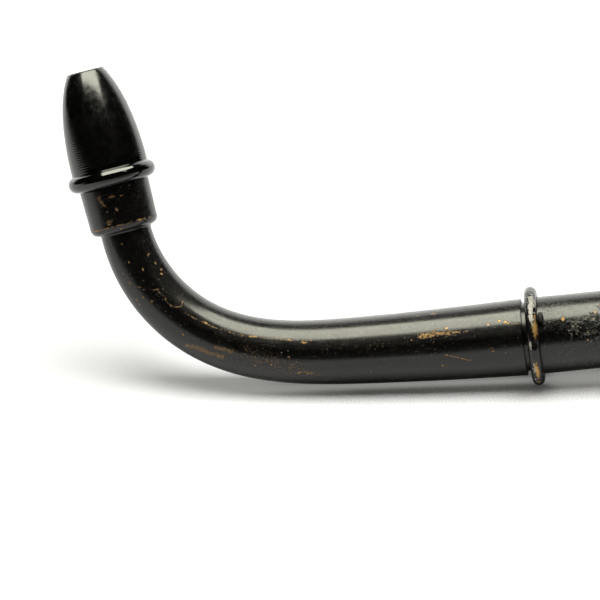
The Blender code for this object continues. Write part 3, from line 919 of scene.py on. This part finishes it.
def tip_outline():
    """Bullet, bead, tenon and bore as one closed outline of (radius, height).

    Bullet radius = base x square root of (1 - ((height - base height) / ogive)^2), less the end taper times
    the share of its height to the fourth power. The bead is a circle's arc from the bullet to its underside.
    """
    height = np.linspace(TIP_LENGTH - TIP_END_DROP, TIP_BASE_AT, BULLET_STATIONS)
    taper = TIP_END_TAPER * ((height - TIP_BASE_AT) / (TIP_LENGTH - TIP_BASE_AT)) ** 4
    ogive = TIP_BASE_RADIUS * np.sqrt(1 - ((height - TIP_BASE_AT) / TIP_OGIVE) ** 2)
    bullet = np.stack([ogive - taper, height], axis=1)
    ring_at = TIP_BEAD_RADIUS - TIP_BEAD_WIRE
    meets = math.acos((TIP_BASE_RADIUS - ring_at) / TIP_BEAD_WIRE)
    turn = np.linspace(meets, -np.pi / 2, BEAD_STATIONS)
    bead = np.stack([ring_at + TIP_BEAD_WIRE * np.cos(turn), TIP_BEAD_WIRE * np.sin(turn)], axis=1)
    shoulder, end = -TIP_BEAD_WIRE, -TIP_BEAD_WIRE - TIP_TENON_LENGTH
    below = rounded([(TIP_TENON_RADIUS, shoulder), (TIP_TENON_RADIUS, end), (TIP_BORE, end),
                     (TIP_BORE, TIP_LENGTH), (bullet[0, 0] - TIP_END_IN, TIP_LENGTH)],
                    np.array([0.1, 0.2, 0.2, 0.5, 0.12]) * MM, 5)
    groove = np.stack([np.full(len(GROOVE_UP), TIP_BASE_RADIUS), bead[0, 1] + GROOVE_UP], axis=1)
    return np.concatenate([bullet, groove, bead, dense(below, 0.6 * MM)[:-1]])


points, *where = round_tip(tip_outline(), TIP_COLUMNS, TIP_LIFT)
lost = spots(*where, END_FLAKES) * MM * (where[2] > FLAKES_OUTSIDE)
points = points - lost[..., None] * tip_axis
add_skin("ear_tip_skin", points, *where, "ear_piece", "ear_tip", rubber, "hard_rubber")

# %% [markdown]
# ## The cork
# A lapping of thin cork round the tenon makes the push fit. It shows only when the tip is pulled out.
# Cork is pale with dark pits, which is a cell pattern over a cloudy brown.

# %% Cork material
CORK_PALE = (0.50, 0.32, 0.16, 1.0)
CORK_DARK = (0.20, 0.10, 0.045, 1.0)
CORK_PITS = 1300.0
CORK_PIT_SIZE = (0.1, 0.35)
CORK_PATCHES = 700.0
CORK_CLOUDS = 260.0
CORK_CLOUD_SHARE = 0.4
CORK_ROUGH = (0.75, 0.95)
CORK_PIT_DEPTH = 0.0001
CORK_PIT_STRENGTH = 0.6

cork_material, tree, shader = new_material("cork_lapping")
place = read(tree, "straight", "Vector")
pits = put(tree, "TexVoronoi", Vector=place, Scale=CORK_PITS).outputs["Distance"]
pit = times(tree, ease(tree, pits, *CORK_PIT_SIZE, 1.0, 0.0), noise(tree, place, CORK_PATCHES))
brown = calc(tree, "MAXIMUM", pit, times(tree, noise(tree, place, CORK_CLOUDS), CORK_CLOUD_SHARE))
fill(tree, shader, Base_Color=blend(tree, brown, CORK_PALE, CORK_DARK),
     Roughness=ease(tree, pit, 0.0, 1.0, *CORK_ROUGH),
     Normal=bumped(tree, times(tree, pit, -1.0), CORK_PIT_DEPTH, CORK_PIT_STRENGTH))
print("material", cork_material.name)

# %% Cork
CORK_THICKNESS = 0.00075
CORK_INSET = 0.0008
CORK_COLUMNS = 120


def sleeve(inner, outer, low, high):
    """Corners of a plain ring's outline: down the outside, then up the bore."""
    return [(outer, high), (outer, low), (inner, low), (inner, high)]


cork_in = TIP_TENON_RADIUS + SNUG_GAP
cork_out = TIP_TENON_RADIUS + GAP + CORK_THICKNESS
cork_low = -TIP_BEAD_WIRE - TIP_TENON_LENGTH + CORK_INSET
cork_high = -TIP_BEAD_WIRE - CORK_INSET
outline = dense(rounded(sleeve(cork_in, cork_out, cork_low, cork_high), 0.2 * MM), 0.3 * MM)
add_skin("cork_skin", *round_tip(outline, CORK_COLUMNS), "ear_piece", "tip_cork", cork_material, "cork")

# %% [markdown]
# ## The draw tube
# The neck is fixed on a thin tube that slides in the barrel. Only a narrow strip of it shows, in the gap at
# the bead. Sliding has scored it lengthwise, so its wear is many fine lines along it.

# %% Draw tube
DRAW_RADIUS = 0.0085
DRAW_FROM = -0.0085
DRAW_TO = 0.070
DRAW_COLUMNS = 160
SCORE_ANGLES = (-150, -118, -71, -30, 4, 22, 61, 97, 140, 166)
SCORE_AT = 34
SCORE_SHIFT = 20
SCORE_LENGTH = 26
SCORE_CHANGE = 8
SCORE_WIDTH = 0.28
SCORE_STRENGTH = 0.86
SCORED_FROM = 0.001
SCORE_STAIN = 0.5


def round_horn(outline, columns):
    """Carries an outline round the horn axis, with heights from the middle of the mouth's bead."""
    return turn_round(outline, bead_middle, horn_axis, -side, rise, columns)


draw_bore = DRAW_RADIUS - SHEET
outline = dense(rounded(sleeve(draw_bore, DRAW_RADIUS, DRAW_FROM, DRAW_TO), 0.15 * MM), 0.6 * MM)
skin = round_horn(outline, DRAW_COLUMNS)
scores = [
    (SCORE_AT + SCORE_SHIFT * math.sin(k), angle, SCORE_LENGTH + SCORE_CHANGE * math.cos(k), SCORE_WIDTH, 0,
     SCORE_STRENGTH)
    for k, angle in enumerate(SCORE_ANGLES)
]
outside = skin[3] > DRAW_RADIUS - SHEET / 2
scored = spots(*skin[1:], scores) * (outside & (skin[1] > SCORED_FROM))
add_skin("draw_tube_skin", *skin, "draw", "draw_tube", enamel, "black_enamel",
         flaked=scored, stained=SCORE_STAIN * scored)

# %% Stop of dull brass
TARNISH_CELLS = 300.0
TARNISH_SHARE = 0.8
BRUSH_CELLS = 2600.0
BRUSH_STRETCH = 0.1
BRUSH_ROUGH = (0.3, 0.5)
STOP_METAL = 0.9
STOP_RADIUS = 0.00873
STOP_LENGTH = 0.012
STOP_COLUMNS = 120

dull_brass, tree, shader = new_material("dull_brass")
place = read(tree, "straight", "Vector")
tarnish = times(tree, noise(tree, place, TARNISH_CELLS, 4.0), TARNISH_SHARE)
brushed = noise(tree, stretch(tree, place, BRUSH_STRETCH, 1.0), BRUSH_CELLS)
fill(tree, shader, Base_Color=blend(tree, tarnish, BRASS_BRIGHT, BRASS_DULL), Metallic=STOP_METAL,
     Roughness=ease(tree, brushed, 0.0, 1.0, *BRUSH_ROUGH))

stop_from = DRAW_TO + GAP
stop_corners = sleeve(draw_bore, STOP_RADIUS, stop_from, stop_from + STOP_LENGTH)
outline = dense(rounded(stop_corners, 0.2 * MM), 0.8 * MM)
add_skin("draw_stop_skin", *round_horn(outline, STOP_COLUMNS), "draw", "draw_stop", dull_brass, "bare_brass")

# %% [markdown]
# ## The barrel
# The barrel is a straight tube. Near its mouth the enamel is scuffed by fingers, and further on a patch has
# blistered into a crust with pale specks. The crust is a second effect on top of the shared enamel: it
# raises the surface in blisters, roughens it and shows grey where blisters have burst.

# %% Barrel material
CRUST_BLACK = (0.0022, 0.0021, 0.0016, 1.0)
CRUST_GREY = (0.21, 0.20, 0.14, 1.0)
CRUST_OLIVE = (0.060, 0.050, 0.022, 1.0)
CRUST_EDGE = (0.35, 0.75)
CRUST_ROUGH = 0.26
CRUST_BASE = 0.2
CRUST_DEPTH = 0.00012
CRUST_STRENGTH = 0.9
BLISTER_CELLS = 1000.0
BLISTER_SPREAD = 2.4
BLISTER_SHIFT = -1.2
BURST_CELLS = 2500.0
BURST_EDGE = (0.58, 0.70)
CLUMP_CELLS = 700.0
CLUMP_EDGE = (0.38, 0.58)
OLIVE_CELLS = 900.0
OLIVE_EDGE = (0.45, 0.6)
SCUFF_SLANT = (0.0, -0.9, 0.0)
SCUFF_STRETCH = (14.0, 1.0, 1.0)
SCUFF_CELLS = 3200.0
SCUFF_EDGE = (0.48, 0.64)
SCUFF_ROUGH = 0.34

crusty_enamel, tree, shader = enamel_material("black_enamel_blistered")
place = read(tree, "straight", "Vector")
blister = put(tree, "TexNoise", Vector=place, Scale=BLISTER_CELLS, Detail=4.0, Roughness=0.62).outputs[0]
swollen = calc(tree, "MULTIPLY_ADD", blister, BLISTER_SPREAD, BLISTER_SHIFT)
crust = ease(tree, calc(tree, "ADD", read(tree, "crusted"), swollen), *CRUST_EDGE)
flecks = ease(tree, noise(tree, place, BURST_CELLS, 3.0, 0.7), *BURST_EDGE)
burst = times(tree, flecks, ease(tree, noise(tree, place, CLUMP_CELLS), *CLUMP_EDGE))
pale = ease(tree, noise(tree, place, OLIVE_CELLS), *OLIVE_EDGE)
crust_colour = blend(tree, burst, CRUST_BLACK, blend(tree, pale, CRUST_OLIVE, CRUST_GREY))
slanted = put(tree, "Mapping", {"vector_type": "TEXTURE"}, Vector=place, Rotation=SCUFF_SLANT,
              Scale=SCUFF_STRETCH).outputs[0]
scuffs = ease(tree, noise(tree, slanted, SCUFF_CELLS), *SCUFF_EDGE)
scuffed = times(tree, read(tree, "scuffed"), scuffs)
rough = calc(tree, "ADD", linked(shader, "Roughness"), times(tree, scuffed, SCUFF_ROUGH))
raised = times(tree, crust, calc(tree, "MULTIPLY_ADD", blister, 1.0, CRUST_BASE))
fill(tree, shader, Base_Color=blend(tree, crust, linked(shader, "Base Color"), crust_colour),
     Roughness=ease(tree, crust, 0.0, 1.0, rough, CRUST_ROUGH),
     Normal=bumped(tree, raised, CRUST_DEPTH, CRUST_STRENGTH, Normal=linked(shader, "Normal")))
print("material", crusty_enamel.name)

# %% Barrel skin
BARREL_RADIUS = 0.009525
BARREL_WALL = 0.0007
BARREL_MOUTH = -0.0014
BARREL_END = 0.095
BARREL_LIP_LENGTH = 0.0008
BARREL_LIP_RADIUS = 0.0086
BARREL_COLUMNS = 184
FINE_TO = 0.024
FINE_STEP = 0.2
COARSE_STEP = 0.9

barrel_bore = BARREL_RADIUS - BARREL_WALL
lip_end = BARREL_MOUTH + BARREL_LIP_LENGTH
barrel_corners = [
    (BARREL_RADIUS, BARREL_END), (BARREL_RADIUS, FINE_TO), (BARREL_RADIUS, BARREL_MOUTH),
    (BARREL_LIP_RADIUS, BARREL_MOUTH), (BARREL_LIP_RADIUS, lip_end),
    (barrel_bore, lip_end), (barrel_bore, BARREL_END),
]
outline = rounded(barrel_corners, np.array([0.2, 0.1, 0.25, 0.1, 0.1, 0.1, 0.2]) * MM, 5)
near_mouth = (outline[:, 1] < FINE_TO + 0.1 * MM) & (outline[:, 0] > BARREL_RADIUS - 0.1 * MM)
outline = dense(outline, np.where(near_mouth, FINE_STEP, COARSE_STEP) * MM)
skin = round_horn(outline, BARREL_COLUMNS)
print("barrel outline", len(outline), "points")

# %% Barrel wear
BARREL_CHIPS = [
    (7.7, 48, 0.55, 0.75, 0, 0.8), (15.8, 54, 0.4, 0.30, 0, 0.75), (9.1, -4, 0.2, 0.2, 0, 1.0),
    (13.3, 13, 0.25, 0.25, 0, 1.1), (40, 70, 0.6, 0.4, 0, 1.2), (58, -20, 0.8, 0.4, 20, 1.3),
    (66, 110, 0.6, 0.5, 0, 1.2), (31, 200, 0.9, 0.4, 10, 1.3), (48, 150, 0.5, 0.5, 0, 1.2),
    (72, 20, 3.0, 1.2, 0, 0.7), (45, -70, 9.0, 2.0, 0, 0.6), (24, 120, 6.0, 1.6, 10, 0.55),
]
BLISTERED = [
    (12.8, 34, 3.8, 2.4, 10, 1.0), (18.0, 33, 4.0, 2.6, 0, 0.95), (15.0, 12, 2.2, 1.6, 0, 0.6),
    (17.6, 62, 1.2, 0.8, 0, 1.0),
]
SCUFFED = [(4.2, 74, 2.4, 3.6, 0, 1.0), (8.0, 84, 4.0, 4.0, 0, 0.5), (30, 170, 12.0, 8.0, 0, 0.8)]
SHEET_STAIN = 0.6

where = skin[1:]
outside = where[2] > BARREL_RADIUS - BARREL_WALL / 2
flaked, crusted, scuffed = (outside * spots(*where, marks) for marks in (BARREL_CHIPS, BLISTERED, SCUFFED))
add_skin("barrel_skin", *skin, "barrel", "barrel_tube", crusty_enamel, "black_enamel",
         flaked=flaked, stained=SHEET_STAIN * flaked, crusted=crusted, scuffed=scuffed)

# %% [markdown]
# ## The beads
# A half-round wire is soldered round the barrel's mouth, and another hides the joint with the bell. They
# stand proud, so they are the most worn places: solder shows on the crest and brass on the flank. The
# solder's pale cream colour is partly a painted highlight.
# The wire is slightly uneven, as a hand-soldered ring is.

# %% Bead material
# Worn solder, painted pale cream: the colour is partly a painted highlight on the crest.
PALE_TIN_AND_SHEEN = (0.50, 0.47, 0.39, 1.0)
DARK_TIN_AND_SHEEN = (0.10, 0.095, 0.08, 1.0)
TIN_PATCHES = 1100.0
TIN_GRAIN = 4200.0
TIN_SPREAD = 0.8
TIN_SHIFT = -0.9
TIN_EDGE = (0.0, 0.14)
TIN_ROUGH = 0.45

bead_enamel, tree, shader = enamel_material("black_enamel_worn_bead")
place = read(tree, "straight", "Vector")
patchy = calc(tree, "MULTIPLY_ADD", noise(tree, place, TIN_PATCHES, 4.0), TIN_SPREAD, TIN_SHIFT)
tin = ease(tree, calc(tree, "ADD", read(tree, "tinned"), patchy), *TIN_EDGE)
tin_sheen_colour = blend(tree, noise(tree, place, TIN_GRAIN), DARK_TIN_AND_SHEEN, PALE_TIN_AND_SHEEN)
fill(tree, shader, Base_Color=blend(tree, tin, linked(shader, "Base Color"), tin_sheen_colour),
     Roughness=ease(tree, tin, 0.0, 1.0, linked(shader, "Roughness"), TIN_ROUGH))
print("material", bead_enamel.name)

# %% Beads
BEAD_WIRE_RADIUS = 0.0015
BEAD_OUTER_RADIUS = 0.0123
BELL_BEAD_AT = 0.0842
BEAD_UNEVEN = 0.00005
BEAD_HIGHEST = 2.2
BEAD_SEAT_GAP = 0.3 * GAP
BEAD_ARC = 40
BEAD_COLUMNS = 220
BEAD_STAIN = 0.7


def bead_outline(at):
    """Most of a circle, cut flat where it sits on the barrel: wire centre + wire radius x (cos, sin)."""
    seat = BARREL_RADIUS + BEAD_SEAT_GAP
    wire_at = BEAD_OUTER_RADIUS - BEAD_WIRE_RADIUS
    cut = math.acos((seat - wire_at) / BEAD_WIRE_RADIUS)
    turn = np.linspace(cut, -cut, BEAD_ARC)
    radius = wire_at + BEAD_WIRE_RADIUS * np.cos(turn)
    height = at + BEAD_WIRE_RADIUS * np.sin(turn)
    return dense(np.stack([radius, height], axis=1), 0.2 * MM)


def uneven(points, along, around, radius):
    """Pushes the skin in by a sum of three waves round the ring, most at the crest and never out.

    Push = uneven x share of the way up to the crest x (waves - highest), with 7, 17 and 31 waves a turn.
    """
    waves = np.sin(7 * around + 1.0) + 0.7 * np.sin(17 * around + 900 * along)
    waves = waves + 0.5 * np.sin(31 * around + 2.0)
    crest = np.clip((radius - BARREL_RADIUS) / (BEAD_OUTER_RADIUS - BARREL_RADIUS), 0.0, 1.0)
    out = np.cos(around)[..., None] * -side + np.sin(around)[..., None] * rise
    return points + (BEAD_UNEVEN * crest * (waves - BEAD_HIGHEST))[..., None] * out


# Places where the crest is worn to solder; its pale colour there is partly a painted highlight.
MOUTH_TIN_AND_SHEEN = [
    (0.30, 72, 0.85, 3.2, 0, 1.25), (0.08, 52, 0.65, 2.8, 0, 1.15), (-0.75, 14, 0.30, 1.4, 0, 0.85),
    (-0.45, -18, 0.22, 2.2, 0, 0.8), (-0.84, -14, 0.25, 0.5, 0, 0.8), (-0.66, -36, 0.30, 0.6, 0, 0.85),
    (0.0, 165, 0.80, 5.0, 0, 0.8), (0.30, 250, 0.80, 3.0, 0, 0.7),
]
MOUTH_BRASS = [
    (0.95, 50, 0.30, 0.9, 0, 1.2), (0.75, 36, 0.65, 2.3, 0, 1.35), (0.12, -19, 0.50, 3.0, 4, 1.35),
    (0.0, -42, 0.60, 0.9, 0, 0.9), (0.40, 205, 0.60, 4.0, 0, 1.1), (-0.30, 130, 0.50, 2.0, 0, 1.0),
]
BELL_TIN_AND_SHEEN = [(84.3, 95, 0.7, 5.0, 0, 0.85), (84.1, 10, 0.6, 3.0, 0, 0.7), (84.2, 215, 0.8, 4.0, 0, 0.8)]
BELL_BRASS = [(84.5, 50, 0.5, 4.0, 0, 1.15), (84.0, -60, 0.5, 3.0, 0, 1.1), (84.4, 160, 0.6, 3.0, 0, 1.1)]
for name, node, at, tinned, brass in (
    ("mouth_bead_skin", "barrel_bead", 0.0, MOUTH_TIN_AND_SHEEN, MOUTH_BRASS),
    ("bell_bead_skin", "bell_bead", BELL_BEAD_AT, BELL_TIN_AND_SHEEN, BELL_BRASS),
):
    points, *where = round_horn(bead_outline(at), BEAD_COLUMNS)
    worn = spots(*where, brass)
    add_skin(name, uneven(points, *where), *where, "barrel", node, bead_enamel, "black_enamel",
             flaked=worn, stained=BEAD_STAIN * worn, tinned=spots(*where, tinned))

# %% [markdown]
# ## The solder lump
# A drop of solder was left behind the mouth's bead, and soot has dulled it. It is a flattened ball, pressed
# on the barrel. The ball's poles would be points where many faces meet, so the drop is a ring of rings that
# closes on a very small hole at each end, where nobody looks.

# %% Sooty solder
SOOT_BLACK = (0.0015, 0.0015, 0.0012, 1.0)
SOOT_GREY = (0.0045, 0.0043, 0.0036, 1.0)
SOOT_SIZE = 0.0004
SOOT_ROUGH = (0.50, 0.62)
SOOT_IOR = 1.3
SOOT_DEPTH = 0.00003
SOOT_STRENGTH = 0.5

sooty, tree, shader = new_material("sooty_solder")
soot = noise(tree, read(tree, "straight", "Vector"), 1 / SOOT_SIZE, 3.0)
fill(tree, shader, Base_Color=blend(tree, soot, SOOT_BLACK, SOOT_GREY), IOR=SOOT_IOR,
     Roughness=ease(tree, soot, 0.0, 1.0, *SOOT_ROUGH), Normal=bumped(tree, soot, SOOT_DEPTH, SOOT_STRENGTH))
print("material", sooty.name)

# %% Solder lump
SOLDER_LENGTH = 0.0015
SOLDER_WIDTH = 0.0030
SOLDER_HEIGHT = 0.0011
SOLDER_ANGLE = math.radians(51.5)
SOLDER_HOLE = 0.02
SOLDER_RINGS = 29
SOLDER_COLUMNS = 40
HOLE_WALL = 0.2 * SOLDER_HOLE
HOLE_HALF = 0.45

seat = BARREL_RADIUS + GAP
lump_out = math.cos(SOLDER_ANGLE) * -side + math.sin(SOLDER_ANGLE) * rise
lump_round = math.cos(SOLDER_ANGLE) * rise + math.sin(SOLDER_ANGLE) * side
lump_lift = seat + SOLDER_HEIGHT / 2 + (SOLDER_WIDTH / 2) ** 2 / (2 * seat)
lump_middle = bead_middle + (BEAD_WIRE_RADIUS + SOLDER_LENGTH / 2) * horn_axis + lump_lift * lump_out
tilt = np.linspace(-np.pi / 2, np.pi / 2, SOLDER_RINGS)
ball = np.stack([0.5 * np.cos(tilt) + 0.5 * SOLDER_HOLE, 0.5 * np.sin(tilt)], axis=1) / (1 + SOLDER_HOLE)
ball = np.concatenate([ball, [[HOLE_WALL, HOLE_HALF], [HOLE_WALL, -HOLE_HALF]]])
first, second, third = np.eye(3)
unit, at, around, out = turn_round(ball, np.zeros(3), third, first, second, SOLDER_COLUMNS)
points = lump_middle + unit[..., :1] * SOLDER_LENGTH * horn_axis
points = points + unit[..., 1:2] * SOLDER_HEIGHT * lump_out + unit[..., 2:] * SOLDER_WIDTH * lump_round
add_skin("solder_skin", points, at * SOLDER_WIDTH, around, out * SOLDER_WIDTH, "barrel", "bead_solder",
         sooty, "black_enamel")

# %% [markdown]
# ## The bell
# The bell gathers the sound. It is spun from sheet and pressed oval, with a wire in its rim. The skin has an
# outer and an inner wall, so it is thin from every side. Its rim is rubbed to brass, as the bead is.
# The oval lies a little rolled, because the neck's weight pulls the trumpet to its side.

# %% Bell
BELL_FROM = 0.086
BELL_RIM_AT = 0.172
BELL_FLARE = 1.6
BELL_PRESS = 0.29
BELL_TURN = math.radians(7.5)
RIM_WIRE = 0.0015
BELL_COLUMNS = 200
BELL_STATIONS = 110
BELL_LIP = 0.1 * MM

rim_low, rim_high = (np.array(corner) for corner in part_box("bell_rim"))
bell_side = math.cos(BELL_TURN) * side - math.sin(BELL_TURN) * rise
bell_rise = math.sin(BELL_TURN) * side + math.cos(BELL_TURN) * rise
flatness = (1 - BELL_PRESS) / (1 + BELL_PRESS)
rim_half_width = (rim_high[1] - rim_low[1]) / 2 - RIM_WIRE
rim_half_width /= math.hypot(math.cos(BELL_TURN), flatness * math.sin(BELL_TURN))
rim_half_height = rim_half_width * flatness
spun = rim_half_width / (1 + BELL_PRESS)
throat = BARREL_RADIUS + GAP + SHEET
mouth = BELL_RIM_AT - RIM_WIRE - GAP


def bell_outline():
    """Outer wall from the collar to the mouth, then the inner wall back, and how many points are outside.

    Outer radius = throat + (spun - throat) x t^1.6 with t from 0 at the barrel's end to 1 at the mouth. The
    inner radius is less by the sheet's thickness, measured square to the slope.
    """
    t = np.linspace(0.0, 1.0, BELL_STATIONS)
    radius = throat + (spun + SHEET / 2 - throat) * t ** BELL_FLARE
    place = BARREL_END + (mouth - BARREL_END) * t
    slope = np.gradient(radius, place)
    collar = [[throat - BELL_LIP, BELL_FROM], [throat, BELL_FROM + BELL_LIP],
              [throat, 0.5 * (BELL_FROM + BARREL_END)]]
    outer = np.concatenate([collar, np.stack([radius, place], axis=1)])
    inner = np.stack([radius - SHEET * np.sqrt(1 + slope ** 2), place], axis=1)[::-1]
    return np.concatenate([outer, inner, [[throat - SHEET, BELL_FROM]]]), len(outer)


def press_oval(points, along):
    """Widens the bell and flattens it, by the press times a half cosine from throat to mouth."""
    share = np.clip((along - BARREL_END) / (mouth - BARREL_END), 0.0, 1.0)
    press = BELL_PRESS * (0.5 - 0.5 * np.cos(np.pi * share))
    offset = points - bead_middle
    sideways, upward = offset @ bell_side, offset @ bell_rise
    moved = (sideways * press)[..., None] * bell_side - (upward * press)[..., None] * bell_rise
    return points + moved


outline, outer_points = bell_outline()
points, *where = turn_round(outline, bead_middle, horn_axis, -bell_side, bell_rise, BELL_COLUMNS)
print("bell", round(2 * rim_half_width, 4), "m wide and", round(2 * rim_half_height, 4), "m high")

# %% Bell wear
BELL_CHIPS = [
    (100, 60, 1.2, 0.6, 0, 1.2), (121, 20, 0.9, 0.5, 30, 1.25), (139, 75, 1.5, 0.6, 0, 1.2),
    (150, -35, 2.0, 0.8, 10, 1.25), (132, 140, 1.0, 0.6, 0, 1.2), (158, 170, 1.4, 0.7, 0, 1.2),
    (128, -95, 8.0, 3.0, 0, 0.75), (160, 95, 6.0, 6.0, 0, 0.6), (112, 220, 7.0, 2.0, 0, 0.6),
]
EDGE_WORN = 0.72
EDGE_WIDTH = 2.2 * MM

outer_wall = np.arange(len(outline))[:, None] < outer_points
edge_wear = EDGE_WORN * np.exp(-((where[0] - mouth) / EDGE_WIDTH) ** 2)
flaked = strongest(outer_wall * spots(*where, BELL_CHIPS), edge_wear)
add_skin("bell_skin", press_oval(points, where[0]), *where, "barrel", "bell", enamel, "black_enamel",
         flaked=flaked, stained=SHEET_STAIN * flaked)

# %% Bell rim
RIM_COLUMNS = 260
RIM_ROWS = 28
RIM_CREST_TURN = 0.4
RIM_RUBBED = 0.77
RIM_PATCHES = 0.3
RIM_SPECKS = 0.12
RIM_STAIN = 0.4

around = np.linspace(-np.pi, np.pi, RIM_COLUMNS, endpoint=False)
bend = np.linspace(0.0, 2 * np.pi, RIM_ROWS, endpoint=False)[:, None]
rim_out = np.stack([np.cos(around) / rim_half_width, np.sin(around) / rim_half_height], axis=1)
rim_out /= np.linalg.norm(rim_out, axis=1, keepdims=True)
rim_side = -rim_half_width * np.cos(around) - RIM_WIRE * np.cos(bend) * rim_out[:, 0]
rim_rise = rim_half_height * np.sin(around) + RIM_WIRE * np.cos(bend) * rim_out[:, 1]
rim_along = BELL_RIM_AT + RIM_WIRE * np.sin(bend) + 0 * around
points = bead_middle + rim_along[..., None] * horn_axis
points = points + rim_side[..., None] * bell_side + rim_rise[..., None] * bell_rise
where = (rim_along, around + 0 * bend, np.hypot(rim_side, rim_rise))
crest = 0.5 + 0.5 * np.cos(bend - RIM_CREST_TURN)
patches = RIM_PATCHES * np.sin(3 * around + 0.6) * np.sin(5 * around)
rubbed = RIM_RUBBED + patches + RIM_SPECKS * np.sin(11 * around)
add_skin("bell_rim_skin", points, *where, "barrel", "bell_rim", bead_enamel, "black_enamel",
         flaked=crest * rubbed, stained=RIM_STAIN * crest, tinned=0.0)
